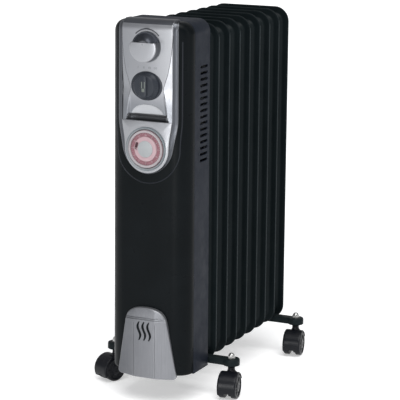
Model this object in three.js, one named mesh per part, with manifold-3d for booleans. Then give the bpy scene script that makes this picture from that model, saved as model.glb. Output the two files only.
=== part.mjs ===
// Oil-filled column radiator: eight hollow steel fins in a welded stack, a control housing at the
// front with a thermostat knob, a heat selector and a 24-hour timer, and two cross legs on four
// swivelling twin-wheel castors. Millimetres, +Z up. The controls face -Y and +X is to their right.
// The origin is on the floor, under the centre of the overall box.

import * as THREE from 'three';
import { mergeVertices } from 'three/addons/utils/BufferGeometryUtils.js';
import Module from 'manifold-3d';

const wasm = await Module();
wasm.setup();

const CENTRE_X = 3.7;        // the body's mid-plane: the front left castor, turned out, widens the box
const GAP = 0.35;            // clearance between touching pieces
const ROUND = 16;            // sides of a plain round piece
const SMALL_ROUND = 10;      // sides of a thin rod or a small hole
const DISC_ROUND = 28;       // sides of a knob or a dial

// fins
const FIN_COUNT = 8;
const FIN_PITCH = 40;
const FIN_FIRST_Y = -83;
const FIN_WIDTH = 146;
const FIN_BOTTOM = 52;
const FIN_TOP = 599.5;
const FIN_CORNER = 25;
const SHEET = 1;             // thickness of one pressed sheet
const CHAMBER_INSET = 13;    // flat rim round the oil chamber
const CHAMBER_HALF = 7;      // chamber face to fin mid-plane
const CHAMBER_SLOPE = 4;
const CHAMBER_CORNER = 12;
const WEB_START = 45;        // web's end above the lower hub and below the upper one
const WEB_HALF = 5;          // welded web between the two oil columns
const HUB_RADIUS = 23;
const HUB_BORE = 18;
const HUB_LOW_Z = 101;
const HUB_HIGH_Z = 554;
const FILLER_HOLE = 6.4;
const FILLER_HEAD = 10;
const FIN_LAST_Y = FIN_FIRST_Y + (FIN_COUNT - 1) * FIN_PITCH;

// heating element
const ELEMENT_TUBE = 4;
const ELEMENT_PIN = 1.6;
const ELEMENT_HALF = 8;      // half the distance between a hairpin's two legs
const ELEMENT_OFFSET = 7;    // hairpin plane above or below the hub axis
const ELEMENT_END_Y = 128;
const FLANGE_RADIUS = 26;
const FLANGE_REAR_Y = FIN_FIRST_Y - FIN_PITCH / 2 - GAP / 2;
const FLANGE_FRONT_Y = FLANGE_REAR_Y - 8;

// housing
const HOUSE_HALF = 69;       // half width at the bottom
const HOUSE_TAPER = 0.022;   // share of the width lost from bottom to top
const HOUSE_BOTTOM = 50;
const HOUSE_TOP = 609;
const HOUSE_CORNER = 20;
const HOUSE_FRONT_Y = -188.5; // crown of the front
const HOUSE_SHOULDER_X = 45; // where the front turns into its corners
const HOUSE_SHOULDER_Y = -186.5;
const HOUSE_JOIN_Y = -161;   // joint between front panel and side frame
const HOUSE_REAR_Y = -106;
const HOUSE_TOP_ROLL = 12;   // rounding of the front top edge
const WALL = 2.5;
const VENT_COUNT = 16;
const VENT_PITCH = 9.8;
const VENT_TOP_Z = 537;
const VENT_HEIGHT = 4.5;
const VENT_FRONT_Y = -141;
const VENT_REAR_Y = -115;
const AHEAD = HOUSE_FRONT_Y - 30;      // clear of everything on the front
const SHIELD_REAR_Y = HOUSE_REAR_Y - 1;
const SHIELD_THICK = 1.2;
const SHIELD_SLOT_ROWS = 5;
const SHIELD_SLOT_BOTTOM = 205;
const SHIELD_SLOT_PITCH = 70;
const SHIELD_SLOT_HEIGHT = 5;
const GLAND_X = 30;
const GLAND_Y = -134;
const BLOCK_Z = 172;         // terminal block
const CUTOUT_X = 40;
const CUTOUT_Z = 135;

// control fascia
const FASCIA_PROUD = 3;
const FASCIA_HALF = 44;
const FASCIA_RADIUS = 38.5;
const FASCIA_SHOULDER_Z = 461;
const BEZEL_HALF = 52;
const BEZEL_RADIUS = 50;
const BEZEL_PROUD = 1.4;
const PLATE_TOP_Z = 455;     // upper edge of the raised plate round the timer
const PLATE_PROUD = 4.5;
const SCOOP_RADIUS = 34;
const SCOOP_DROP = 12;       // scoop centre below the plate's edge

// knobs
const THERMOSTAT_Z = 570.5;
const THERMOSTAT_RADIUS = 23.4;
const THERMOSTAT_FRONT_Y = -207;
const THERMOSTAT_CHORD = 7.5;
const THERMOSTAT_STEP = 8;
const SELECTOR_Z = 510;
const SELECTOR_RADIUS = 22;
const SELECTOR_SKIRT_Y = -197;
const SELECTOR_FRONT_Y = -206;
const KNOB_REAR_Y = -192;
const SHAFT_RADIUS = 3;
const BUSH_RADIUS = 4.8;

// timer
const TIMER_Z = 412;
const TIMER_BEZEL_RADIUS = 34;
const TIMER_MOUTH = 30.4;
const TAPPET_OUTER = 29.3;
const TAPPET_NOTCH = 28.4;
const TAPPET_INNER = 25.8;
const TAPPET_COUNT = 24;
const DIAL_RADIUS = 29.6;
const HUB_DISC_RADIUS = 19.2;
const SPINDLE_RADIUS = 3.5;
const OVERRIDE_RADIUS = 15.6;
const OVERRIDE_ANGLE = 165;  // degrees round the dial from +X
const OVERRIDE_TRAVEL = 3;
const OVERRIDE_HALF_LENGTH = 4;
const OVERRIDE_HALF_WIDTH = 1.7;
const TIMER_SEAT_Y = HOUSE_FRONT_Y - PLATE_PROUD;
const TIMER_BODY_HALF = 27;
const DIAL_REAR_Y = -190;
const DIAL_FRONT_Y = -194.2;

// lower cover
const COVER_BOTTOM = 44;
const COVER_TOP = 158.5;
const COVER_HALF_BOTTOM = 51;
const COVER_HALF_TOP = 36.5;
const COVER_CREASE_X = 18.4;
const COVER_FRONT_Y = -199;
const COVER_SIDE_Y = -188.5;
const COVER_REAR_Y = -170;
const COVER_WALL = 2;
const WAVE_PITCH = 8.6;
const WAVE_HALF_WIDTH = 1.8;
const WAVE_SWING = 2.4;
const WAVE_BOTTOM = 106;
const WAVE_HEIGHT = 30;
const WAVE_PROUD = 0.8;
const WAVE_STEPS = 10;

// legs and castors
const LEG_FRONT_Y = -94;
const LEG_REAR_Y = 177;
const LEG_TOP = 63;
const LEG_HEIGHT = 11;
const LEG_HALF_WIDTH = 8.2;
const LEG_PLATE = 2;
const PAD_RADIUS = 13.5;
const CLAMP_ROD = 3;
const CLAMP_HALF = HUB_RADIUS + GAP + CLAMP_ROD;
const CASTOR_X = 105;
const CASTOR_TRAIL = 11;
const WHEEL_RADIUS = 20;
const WHEEL_SIDES = 16;
const WHEEL_GAP_HALF = 4.9;
const WHEEL_WIDTH = 10.5;
const AXLE_RADIUS = 2.2;
const STEM_RADIUS = 3.2;
const PIN_RADIUS = 2.5;
const NUT_RADIUS = 6.2;      // across the corners
const NUT_HEIGHT = 4;
const DOME_RADIUS = 4.9;
const DOME_HEIGHT = 8.5;
const HOOD_RADIUS = 23.4;
const HOOD_INNER = 20.9;
const HOOD_TOP = 49;
const HOOD_FRONT_Z = 9;      // foot of the hood's long side, ahead of the axle
const HOOD_REAR_Z = 29;
const HOOD_NOTCH = 4.4;
const BOSS_RADIUS = 5.8;
const HOOD_SIDES = 20;
const CASTORS = [
  { name: 'fl', side: -1, y: LEG_FRONT_Y, yaw: -24 },
  { name: 'fr', side: 1, y: LEG_FRONT_Y, yaw: 9 },
  { name: 'rl', side: -1, y: LEG_REAR_Y, yaw: 32 },
  { name: 'rr', side: 1, y: LEG_REAR_Y, yaw: 9 },
];

// materials
const BLACK_GLOSS = new THREE.MeshStandardMaterial({ color: 0x17191b, roughness: 0.32, metalness: 0.0 });
const BLACK_ENAMEL = new THREE.MeshStandardMaterial({ color: 0x1d2022, roughness: 0.42, metalness: 0.2 });
const SIDE_BLACK = new THREE.MeshStandardMaterial({ color: 0x2a2d33, roughness: 0.5, metalness: 0.0 });
const SILVER = new THREE.MeshStandardMaterial({ color: 0xc4c6ca, roughness: 0.34, metalness: 0.55 });
const COVER_SILVER = new THREE.MeshStandardMaterial({ color: 0x9da1a5, roughness: 0.42, metalness: 0.5 });
const STEEL = new THREE.MeshStandardMaterial({ color: 0xb9bcc0, roughness: 0.3, metalness: 0.95 });
const CHROME = new THREE.MeshStandardMaterial({ color: 0xe4e6e8, roughness: 0.12, metalness: 1.0 });
const BRASS = new THREE.MeshStandardMaterial({ color: 0xb5924a, roughness: 0.35, metalness: 0.9 });
const GALVANISED = new THREE.MeshStandardMaterial({ color: 0x9fa4a8, roughness: 0.5, metalness: 0.8 });
const WHITE_PLASTIC = new THREE.MeshStandardMaterial({ color: 0xe8e8e6, roughness: 0.5, metalness: 0.0 });
const PALE_GREY = new THREE.MeshStandardMaterial({ color: 0xd5d9db, roughness: 0.45, metalness: 0.0 });
const GLASS_PINK = new THREE.MeshStandardMaterial({ color: 0xd07f86, roughness: 0.45, metalness: 0.0 });
const DARK_RED = new THREE.MeshStandardMaterial({ color: 0x4b2a35, roughness: 0.45, metalness: 0.0 });
const BROWN_PLASTIC = new THREE.MeshStandardMaterial({ color: 0x3a2f28, roughness: 0.6, metalness: 0.0 });

const part = new THREE.Group();

// ---- solids ----

// Turns a closed geometry into a manifold solid with its faces pointing out.
function solid(geometry) {
  const bare = geometry.index ? geometry.toNonIndexed() : geometry.clone();
  for (const name of Object.keys(bare.attributes)) {
    if (name !== 'position') bare.deleteAttribute(name);
  }
  const merged = mergeVertices(bare, 1e-4);
  const position = merged.attributes.position;
  const corners = Array.from(merged.index.array);
  const triangles = [];
  for (let i = 0; i < corners.length; i += 3) {
    const [a, b, c] = corners.slice(i, i + 3);
    if (a !== b && b !== c && c !== a) triangles.push(a, b, c);
  }
  let volume = 0;
  const at = (i) => new THREE.Vector3().fromBufferAttribute(position, i);
  for (let i = 0; i < triangles.length; i += 3) {
    volume += at(triangles[i]).dot(at(triangles[i + 1]).cross(at(triangles[i + 2])));
  }
  if (volume < 0) triangles.reverse();
  return new wasm.Manifold(new wasm.Mesh({
    numProp: 3,
    vertProperties: new Float32Array(position.array),
    triVerts: new Uint32Array(triangles),
  }));
}

function join(first, ...others) {
  return others.reduce((sum, other) => sum.add(other), first);
}

function cut(first, ...others) {
  return others.reduce((rest, other) => rest.subtract(other), first);
}

function geometryOf(form) {
  const mesh = form.getMesh();
  const geometry = new THREE.BufferGeometry();
  geometry.setAttribute('position', new THREE.BufferAttribute(new Float32Array(mesh.vertProperties), 3));
  geometry.setIndex(new THREE.BufferAttribute(new Uint32Array(mesh.triVerts), 1));
  geometry.computeVertexNormals();
  return geometry;
}

function add(name, form, material, group = part) {
  const mesh = new THREE.Mesh(geometryOf(form), material);
  mesh.name = name;
  group.add(mesh);
  return mesh;
}

function box(x0, x1, y0, y1, z0, z1) {
  const geometry = new THREE.BoxGeometry(x1 - x0, y1 - y0, z1 - z0);
  geometry.translate((x0 + x1) / 2, (y0 + y1) / 2, (z0 + z1) / 2);
  return solid(geometry);
}

// Turned piece about the Y axis at (x, z): points are [radius, y].
function turnedY(points, x, z, sides = ROUND) {
  const profile = points.map(([radius, y]) => new THREE.Vector2(radius, y));
  const geometry = new THREE.LatheGeometry(profile, sides);
  geometry.translate(x, 0, z);
  return solid(geometry);
}

// Turned piece about the Z axis at (x, y): points are [radius, z].
function turnedZ(points, x, y, sides = ROUND) {
  const profile = points.map(([radius, z]) => new THREE.Vector2(radius, z));
  const geometry = new THREE.LatheGeometry(profile, sides);
  geometry.rotateX(Math.PI / 2);
  geometry.translate(x, y, 0);
  return solid(geometry);
}

function rodY(radius, x, z, y0, y1, sides = ROUND) {
  return turnedY([[0, y0], [radius, y0], [radius, y1], [0, y1]], x, z, sides);
}

function rodZ(radius, x, y, z0, z1, sides = ROUND) {
  return turnedZ([[0, z0], [radius, z0], [radius, z1], [0, z1]], x, y, sides);
}

function rodX(radius, y, z, x0, x1, sides = ROUND) {
  const geometry = new THREE.CylinderGeometry(radius, radius, x1 - x0, sides);
  geometry.rotateZ(Math.PI / 2);
  geometry.translate((x0 + x1) / 2, y, z);
  return solid(geometry);
}

// Outline in X and Z, given depth along Y from y0 to y1.
function slabY(shape, y0, y1, curveSegments = 8) {
  const geometry = new THREE.ExtrudeGeometry(shape, { depth: y1 - y0, bevelEnabled: false, curveSegments });
  geometry.rotateX(Math.PI / 2);
  geometry.translate(0, y1, 0);
  return solid(geometry);
}

// Outline in X and Y, given height along Z from z0 to z1.
function slabZ(shape, z0, z1, curveSegments = 8) {
  const geometry = new THREE.ExtrudeGeometry(shape, { depth: z1 - z0, bevelEnabled: false, curveSegments });
  geometry.translate(0, 0, z0);
  return solid(geometry);
}

// Outline in Y and Z, given width along X from x0 to x1.
function slabX(shape, x0, x1, curveSegments = 8) {
  const geometry = new THREE.ExtrudeGeometry(shape, { depth: x1 - x0, bevelEnabled: false, curveSegments });
  geometry.rotateX(Math.PI / 2);
  geometry.rotateZ(Math.PI / 2);
  geometry.translate(x0, 0, 0);
  return solid(geometry);
}

function roundedRectangle(x0, x1, z0, z1, radius) {
  const shape = new THREE.Shape();
  shape.moveTo(x0 + radius, z0);
  shape.lineTo(x1 - radius, z0);
  shape.absarc(x1 - radius, z0 + radius, radius, -Math.PI / 2, 0, false);
  shape.lineTo(x1, z1 - radius);
  shape.absarc(x1 - radius, z1 - radius, radius, 0, Math.PI / 2, false);
  shape.lineTo(x0 + radius, z1);
  shape.absarc(x0 + radius, z1 - radius, radius, Math.PI / 2, Math.PI, false);
  shape.lineTo(x0, z0 + radius);
  shape.absarc(x0 + radius, z0 + radius, radius, Math.PI, 1.5 * Math.PI, false);
  return shape;
}

// ---- fins ----

// Outline of the oil chamber with the welded web down its middle left out.
function chamberOutline(inset, webHalf) {
  const half = FIN_WIDTH / 2 - inset;
  const outline = roundedRectangle(-half, half, FIN_BOTTOM + inset, FIN_TOP - inset, CHAMBER_CORNER);
  const web = new THREE.Path();
  web.moveTo(-webHalf, HUB_LOW_Z + WEB_START);
  web.lineTo(-webHalf, HUB_HIGH_Z - WEB_START);
  web.lineTo(webHalf, HUB_HIGH_Z - WEB_START);
  web.lineTo(webHalf, HUB_LOW_Z + WEB_START);
  web.closePath();
  outline.holes.push(web);
  return outline;
}

// The pressed bulge on both sheets, its sides sloping in from the flat rim.
function chamberOutside() {
  const outline = chamberOutline(CHAMBER_INSET + CHAMBER_SLOPE, WEB_HALF + CHAMBER_SLOPE);
  const geometry = new THREE.ExtrudeGeometry(outline, {
    depth: 2 * (CHAMBER_HALF - CHAMBER_SLOPE),
    bevelEnabled: true,
    bevelThickness: CHAMBER_SLOPE,
    bevelSize: CHAMBER_SLOPE,
    bevelSegments: 1,
    curveSegments: 1,
  });
  geometry.translate(0, 0, CHAMBER_SLOPE - CHAMBER_HALF);
  geometry.rotateX(Math.PI / 2);
  return solid(geometry);
}

function chamberInside() {
  const half = CHAMBER_HALF - SHEET;
  return slabY(chamberOutline(CHAMBER_INSET + CHAMBER_SLOPE, WEB_HALF + CHAMBER_SLOPE), -half, half, 1);
}

// One fin about the plane y = 0: a flat rim, a hollow chamber and a collar at each end.
function finForm(closedRear) {
  const halfWidth = FIN_WIDTH / 2;
  const sheets = slabY(
    roundedRectangle(-halfWidth, halfWidth, FIN_BOTTOM, FIN_TOP, FIN_CORNER), -SHEET, SHEET, 2);
  const collarHalf = FIN_PITCH / 2 - GAP / 2;
  const rearHalf = closedRear ? CHAMBER_HALF : collarHalf;
  const outside = join(
    sheets,
    chamberOutside(),
    rodY(HUB_RADIUS, 0, HUB_LOW_Z, -collarHalf, rearHalf, SMALL_ROUND),
    rodY(HUB_RADIUS, 0, HUB_HIGH_Z, -collarHalf, rearHalf, SMALL_ROUND));
  const boreRear = closedRear ? CHAMBER_HALF - SHEET : FIN_PITCH;
  return cut(
    outside,
    chamberInside(),
    rodY(HUB_BORE, 0, HUB_LOW_Z, -FIN_PITCH, boreRear, SMALL_ROUND),
    rodY(HUB_BORE, 0, HUB_HIGH_Z, -FIN_PITCH, boreRear, SMALL_ROUND));
}

function makeFins() {
  const open = finForm(false);
  const closed = finForm(true);
  const plugHole = rodY(FILLER_HOLE, 0, HUB_HIGH_Z, 0, FIN_PITCH);
  for (let i = 0; i < FIN_COUNT; i += 1) {
    const last = i === FIN_COUNT - 1;
    const form = last ? cut(closed, plugHole) : open;
    const fin = add(`fin_${i + 1}`, form, BLACK_ENAMEL);
    fin.position.y = FIN_FIRST_Y + i * FIN_PITCH;
  }
}

// Filler plug in the rear face of the last fin.
function makeFillerPlug() {
  const face = FIN_LAST_Y + CHAMBER_HALF;
  const shank = rodY(FILLER_HOLE - 0.4, 0, HUB_HIGH_Z, face - 6, face + 2);
  const head = rodY(FILLER_HEAD, 0, HUB_HIGH_Z, face + GAP, face + 3, 6);
  add('oil_filler_plug', join(shank, head), STEEL);
}

// ---- heating element ----

function hairpin(z) {
  const front = FLANGE_FRONT_Y - 5;
  const tubes = [-ELEMENT_HALF, ELEMENT_HALF].map(
    (x) => rodY(ELEMENT_TUBE, x, z, front, ELEMENT_END_Y, 8));
  const pins = [-ELEMENT_HALF, ELEMENT_HALF].map(
    (x) => rodY(ELEMENT_PIN, x, z, front - 9, front + 3, 6));
  const bend = new THREE.EllipseCurve(0, 0, ELEMENT_HALF, ELEMENT_HALF, -0.04, Math.PI + 0.04, false, 0);
  const points = bend.getPoints(9).map((p) => new THREE.Vector3(p.x, ELEMENT_END_Y + p.y, z));
  const section = new THREE.Shape();
  section.absarc(0, 0, ELEMENT_TUBE - 0.02, 0, 2 * Math.PI, false);
  const turn = new THREE.ExtrudeGeometry(section, {
    steps: 6,
    curveSegments: 4,
    extrudePath: new THREE.CatmullRomCurve3(points),
  });
  return join(...tubes, ...pins, solid(turn));
}

function makeElement() {
  const tubeHoles = [];
  for (const x of [-ELEMENT_HALF, ELEMENT_HALF]) {
    for (const z of [-ELEMENT_OFFSET, ELEMENT_OFFSET]) {
      tubeHoles.push(rodY(
        ELEMENT_TUBE + GAP, x, HUB_LOW_Z + z, FLANGE_FRONT_Y - 5, FLANGE_REAR_Y + 20, 8));
    }
  }
  const head = rodY(FLANGE_RADIUS, 0, HUB_LOW_Z, FLANGE_FRONT_Y, FLANGE_REAR_Y, 6);
  const plug = rodY(HUB_BORE - GAP, 0, HUB_LOW_Z, FLANGE_REAR_Y - 1, FLANGE_REAR_Y + 12, SMALL_ROUND);
  add('element_flange', cut(join(head, plug), ...tubeHoles), BRASS);
  add('heating_element_upper', hairpin(HUB_LOW_Z + ELEMENT_OFFSET), STEEL);
  add('heating_element_lower', hairpin(HUB_LOW_Z - ELEMENT_OFFSET), STEEL);
}

// ---- housing ----

// Narrows a form towards the top, as the housing's skin does.
function tapered(form) {
  return form.warp((vertex) => {
    const height = (vertex[2] - HOUSE_BOTTOM) / (HOUSE_TOP - HOUSE_BOTTOM);
    vertex[0] *= 1 - HOUSE_TAPER * Math.min(Math.max(height, 0), 1);
  });
}

// The housing's front, grown outwards by grow and running back to rearY.
function frontForm(grow, rearY) {
  const half = HOUSE_HALF + grow;
  const shoulderY = HOUSE_SHOULDER_Y - grow;
  const controlY = 2 * (HOUSE_FRONT_Y - grow) - shoulderY;
  const plan = new THREE.Shape();
  plan.moveTo(-half, rearY);
  plan.lineTo(-half, HOUSE_JOIN_Y);
  plan.bezierCurveTo(
    -half, HOUSE_JOIN_Y - 14, -HOUSE_SHOULDER_X - 13, shoulderY + 3, -HOUSE_SHOULDER_X, shoulderY);
  plan.quadraticCurveTo(0, controlY, HOUSE_SHOULDER_X, shoulderY);
  plan.bezierCurveTo(HOUSE_SHOULDER_X + 13, shoulderY + 3, half, HOUSE_JOIN_Y - 14, half, HOUSE_JOIN_Y);
  plan.lineTo(half, rearY);
  plan.closePath();
  const front = HOUSE_FRONT_Y - grow;
  const roll = HOUSE_TOP_ROLL + grow;
  const side = new THREE.Shape();
  side.moveTo(rearY + 1, HOUSE_BOTTOM - grow);
  side.lineTo(rearY + 1, HOUSE_TOP + grow);
  side.lineTo(front + roll, HOUSE_TOP + grow);
  side.absarc(front + roll, HOUSE_TOP + grow - roll, roll, Math.PI / 2, Math.PI, false);
  side.lineTo(front - 1, HOUSE_BOTTOM - grow);
  side.closePath();
  const face = roundedRectangle(-half, half, HOUSE_BOTTOM - 40, HOUSE_TOP + grow, HOUSE_CORNER + grow);
  return slabZ(plan, HOUSE_BOTTOM - grow, HOUSE_TOP + grow, 5)
    .intersect(slabX(side, -half - 1, half + 1, 2))
    .intersect(slabY(face, front - 2, rearY + 1, 2));
}

function skin(outer, inner) {
  return cut(frontForm(outer, HOUSE_JOIN_Y), frontForm(inner, HOUSE_JOIN_Y + 3));
}

// U-shaped outline open to the top: straight sides that draw in to a round bottom about the timer.
function uOutline(half, shoulderZ, radius, topZ) {
  const shape = new THREE.Shape();
  shape.moveTo(-half, topZ);
  shape.lineTo(-half, shoulderZ);
  shape.bezierCurveTo(-half, shoulderZ - 20, -radius, TIMER_Z + 22, -radius, TIMER_Z);
  shape.absarc(0, TIMER_Z, radius, Math.PI, 2 * Math.PI, false);
  shape.bezierCurveTo(radius, TIMER_Z + 22, half, shoulderZ - 20, half, shoulderZ);
  shape.lineTo(half, topZ);
  shape.closePath();
  return shape;
}

function makeFrontPanel() {
  const shell = skin(0, -WALL);
  const panel = cut(
    shell,
    rodY(BUSH_RADIUS + 1, 0, THERMOSTAT_Z, AHEAD, HOUSE_JOIN_Y),
    rodY(BUSH_RADIUS + 1, 0, SELECTOR_Z, AHEAD, HOUSE_JOIN_Y),
    rodY(DIAL_RADIUS + 1, 0, TIMER_Z, AHEAD, HOUSE_JOIN_Y));
  add('front_panel', tapered(panel), BLACK_GLOSS);
}

function houseOutline(inset) {
  const half = HOUSE_HALF - inset;
  return roundedRectangle(-half, half, HOUSE_BOTTOM + inset, HOUSE_TOP - inset, HOUSE_CORNER - inset);
}

function makeSideFrame() {
  const front = HOUSE_JOIN_Y + GAP;
  const flatBottom = roundedRectangle(
    -HOUSE_HALF, HOUSE_HALF, HOUSE_BOTTOM - 40, HOUSE_TOP, HOUSE_CORNER);
  const innerBottom = roundedRectangle(
    -HOUSE_HALF + WALL, HOUSE_HALF - WALL, HOUSE_BOTTOM - 60, HOUSE_TOP - WALL, HOUSE_CORNER - WALL);
  const outside = slabY(flatBottom, front, HOUSE_REAR_Y, 5)
    .intersect(box(-100, 100, front - 1, HOUSE_REAR_Y + 1, HOUSE_BOTTOM, HOUSE_TOP + 1));
  const inside = slabY(innerBottom, front - 5, HOUSE_REAR_Y + 5, 5)
    .intersect(box(-100, 100, front - 9, HOUSE_REAR_Y + 9, HOUSE_BOTTOM + WALL, HOUSE_TOP + 1));
  const vents = [];
  for (let i = 0; i < VENT_COUNT; i += 1) {
    const z = VENT_TOP_Z - i * VENT_PITCH;
    vents.push(box(-100, 100, VENT_FRONT_Y, VENT_REAR_Y, z - VENT_HEIGHT / 2, z + VENT_HEIGHT / 2));
  }
  const glandHole = rodZ(7, GLAND_X, GLAND_Y, HOUSE_BOTTOM - 10, HOUSE_BOTTOM + 10);
  add('side_frame', tapered(cut(outside, inside, glandHole, ...vents)), SIDE_BLACK);
}

// Steel sheet that closes the back of the housing and keeps the fins' heat out.
function makeHeatShield() {
  const sheet = slabY(houseOutline(WALL + GAP), SHIELD_REAR_Y - SHIELD_THICK, SHIELD_REAR_Y, 5);
  const openings = [rodY(FLANGE_RADIUS + 2, 0, HUB_LOW_Z, SHIELD_REAR_Y - 9, SHIELD_REAR_Y + 9)];
  for (let row = 0; row < SHIELD_SLOT_ROWS; row += 1) {
    const z = SHIELD_SLOT_BOTTOM + row * SHIELD_SLOT_PITCH;
    for (const side of [-1, 1]) {
      const near = Math.min(side * 12, side * 40);
      openings.push(box(
        near, near + 28, SHIELD_REAR_Y - 9, SHIELD_REAR_Y + 9, z, z + SHIELD_SLOT_HEIGHT));
    }
  }
  add('heat_shield', tapered(cut(sheet, ...openings)), GALVANISED);
}

// ---- control fascia ----

function makeFascia() {
  const top = HOUSE_TOP + 20;
  const rear = HOUSE_JOIN_Y - 2;
  const bezel = slabY(uOutline(BEZEL_HALF, FASCIA_SHOULDER_Z, BEZEL_RADIUS, top), AHEAD, rear, 6)
    .intersect(skin(BEZEL_PROUD, GAP));
  const plate = slabY(uOutline(FASCIA_HALF, FASCIA_SHOULDER_Z, FASCIA_RADIUS, top), AHEAD, rear, 6)
    .intersect(skin(FASCIA_PROUD, GAP));
  const timerOutline = uOutline(FASCIA_HALF - 1, FASCIA_SHOULDER_Z, FASCIA_RADIUS - 1, top);
  const timerPlate = slabY(timerOutline, AHEAD, rear, 6)
    .intersect(skin(PLATE_PROUD, GAP))
    .intersect(box(-100, 100, AHEAD, rear, TIMER_Z - 60, PLATE_TOP_Z));
  const scoop = rodY(SCOOP_RADIUS, 0, PLATE_TOP_Z - SCOOP_DROP, AHEAD, rear)
    .intersect(box(-100, 100, AHEAD, rear, PLATE_TOP_Z, PLATE_TOP_Z + 50))
    .intersect(skin(FASCIA_PROUD + 1, FASCIA_PROUD - 1.4));
  const fascia = cut(
    join(bezel, cut(plate, scoop), timerPlate),
    rodY(BUSH_RADIUS + 1, 0, THERMOSTAT_Z, AHEAD, rear),
    rodY(BUSH_RADIUS + 1, 0, SELECTOR_Z, AHEAD, rear),
    rodY(DIAL_RADIUS + 1.4, 0, TIMER_Z, AHEAD, rear));
  add('control_fascia', tapered(fascia), SILVER);
}

// ---- knobs and their switches ----

// Switch or thermostat body behind the panel, with a threaded bush through it.
function controlBody(name, z, halfWidth, depth, material) {
  const front = HOUSE_FRONT_Y + WALL + 3;
  const body = box(-halfWidth, halfWidth, front, front + depth, z - halfWidth, z + halfWidth);
  const tabs = [-halfWidth - 3, halfWidth + 3].map(
    (x) => box(x - 1.5, x + 1.5, front + depth, front + depth + 7, z - 3, z + 3));
  const tabPlate = box(
    -halfWidth - 5, halfWidth + 5, front + depth - 1.5, front + depth + 0.5, z - 8, z + 8);
  const bush = rodY(BUSH_RADIUS, 0, z, KNOB_REAR_Y + GAP, front + 1);
  const bore = rodY(SHAFT_RADIUS + GAP, 0, z, KNOB_REAR_Y - 5, front + 12);
  add(name, cut(join(body, tabPlate, ...tabs, bush), bore), material);
}

function controlShaft(name, z, frontY) {
  const rear = HOUSE_FRONT_Y + WALL + 3 + 11;
  add(name, rodY(SHAFT_RADIUS, 0, z, frontY, rear, 16), STEEL);
}

function makeThermostat() {
  controlBody('thermostat_body', THERMOSTAT_Z, 17, 22, BROWN_PLASTIC);
  controlShaft('thermostat_shaft', THERMOSTAT_Z, THERMOSTAT_FRONT_Y + 4.5);
  const knob = turnedY([
    [0, KNOB_REAR_Y], [THERMOSTAT_RADIUS, KNOB_REAR_Y],
    [THERMOSTAT_RADIUS - 0.8, THERMOSTAT_FRONT_Y + 1.6], [THERMOSTAT_RADIUS - 2.4, THERMOSTAT_FRONT_Y],
    [0, THERMOSTAT_FRONT_Y],
  ], 0, THERMOSTAT_Z, DISC_ROUND);
  const step = box(-40, 40, THERMOSTAT_FRONT_Y - 1, THERMOSTAT_FRONT_Y + THERMOSTAT_STEP,
    THERMOSTAT_Z + THERMOSTAT_CHORD, THERMOSTAT_Z + 40);
  const socket = rodY(
    SHAFT_RADIUS + GAP, 0, THERMOSTAT_Z, THERMOSTAT_FRONT_Y + 4, KNOB_REAR_Y + 1, SMALL_ROUND);
  const hollow = turnedY([
    [8, KNOB_REAR_Y + 1], [THERMOSTAT_RADIUS - 3, KNOB_REAR_Y + 1],
    [THERMOSTAT_RADIUS - 3, KNOB_REAR_Y - 3], [8, KNOB_REAR_Y - 3], [8, KNOB_REAR_Y + 1],
  ], 0, THERMOSTAT_Z, DISC_ROUND);
  add('thermostat_knob', cut(knob, step, socket, hollow), SILVER);
}

function makeSelector() {
  controlBody('selector_switch_body', SELECTOR_Z, 15, 20, WHITE_PLASTIC);
  controlShaft('selector_shaft', SELECTOR_Z, SELECTOR_FRONT_Y + 3);
  const skirt = turnedY([
    [0, KNOB_REAR_Y], [SELECTOR_RADIUS, KNOB_REAR_Y],
    [SELECTOR_RADIUS, KNOB_REAR_Y - 2], [SELECTOR_RADIUS - 3, SELECTOR_SKIRT_Y],
    [0, SELECTOR_SKIRT_Y - 1.2],
  ], 0, SELECTOR_Z, DISC_ROUND);
  const grip = slabY(
    roundedRectangle(-5.5, 5.5, SELECTOR_Z - SELECTOR_RADIUS + 2, SELECTOR_Z + SELECTOR_RADIUS - 2, 5),
    SELECTOR_FRONT_Y, SELECTOR_SKIRT_Y + 2, 4);
  const socket = rodY(
    SHAFT_RADIUS + GAP, 0, SELECTOR_Z, SELECTOR_FRONT_Y + 2.5, KNOB_REAR_Y + 1, SMALL_ROUND);
  add('selector_knob', cut(join(skirt, grip), socket), BLACK_GLOSS);
}

// ---- timer ----

// Toothed outline of the tappet ring.
function tappetOutline() {
  const corners = [];
  const half = Math.PI / TAPPET_COUNT;
  for (let i = 0; i < TAPPET_COUNT; i += 1) {
    const angle = 2 * half * i;
    for (const [offset, radius] of [[-0.7, TAPPET_OUTER], [0.7, TAPPET_OUTER], [1, TAPPET_NOTCH]]) {
      const a = angle + offset * half;
      const point = [radius * Math.cos(a), radius * Math.sin(a) + TIMER_Z];
      corners.push(new THREE.Vector2(...point));
    }
  }
  const shape = new THREE.Shape(corners);
  const inner = new THREE.Path();
  inner.absarc(0, TIMER_Z, TAPPET_INNER, 0, 2 * Math.PI, true);
  shape.holes.push(inner);
  return shape;
}

// The override slider's outline in its own frame, turned into place on the hub disc.
function overrideOutline(halfLength, halfWidth, shift = 0) {
  const angle = THREE.MathUtils.degToRad(OVERRIDE_ANGLE);
  const radial = new THREE.Vector2(Math.cos(angle), Math.sin(angle));
  const along = new THREE.Vector2(-radial.y, radial.x);
  const centre = radial.clone().multiplyScalar(OVERRIDE_RADIUS).addScaledVector(along, shift);
  const points = [[-1, -1], [1, -1], [1, 1], [-1, 1]].map(([a, b]) => centre.clone()
    .addScaledVector(along, a * halfLength)
    .addScaledVector(radial, b * halfWidth)
    .add(new THREE.Vector2(0, TIMER_Z)));
  return new THREE.Shape(points);
}

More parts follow.
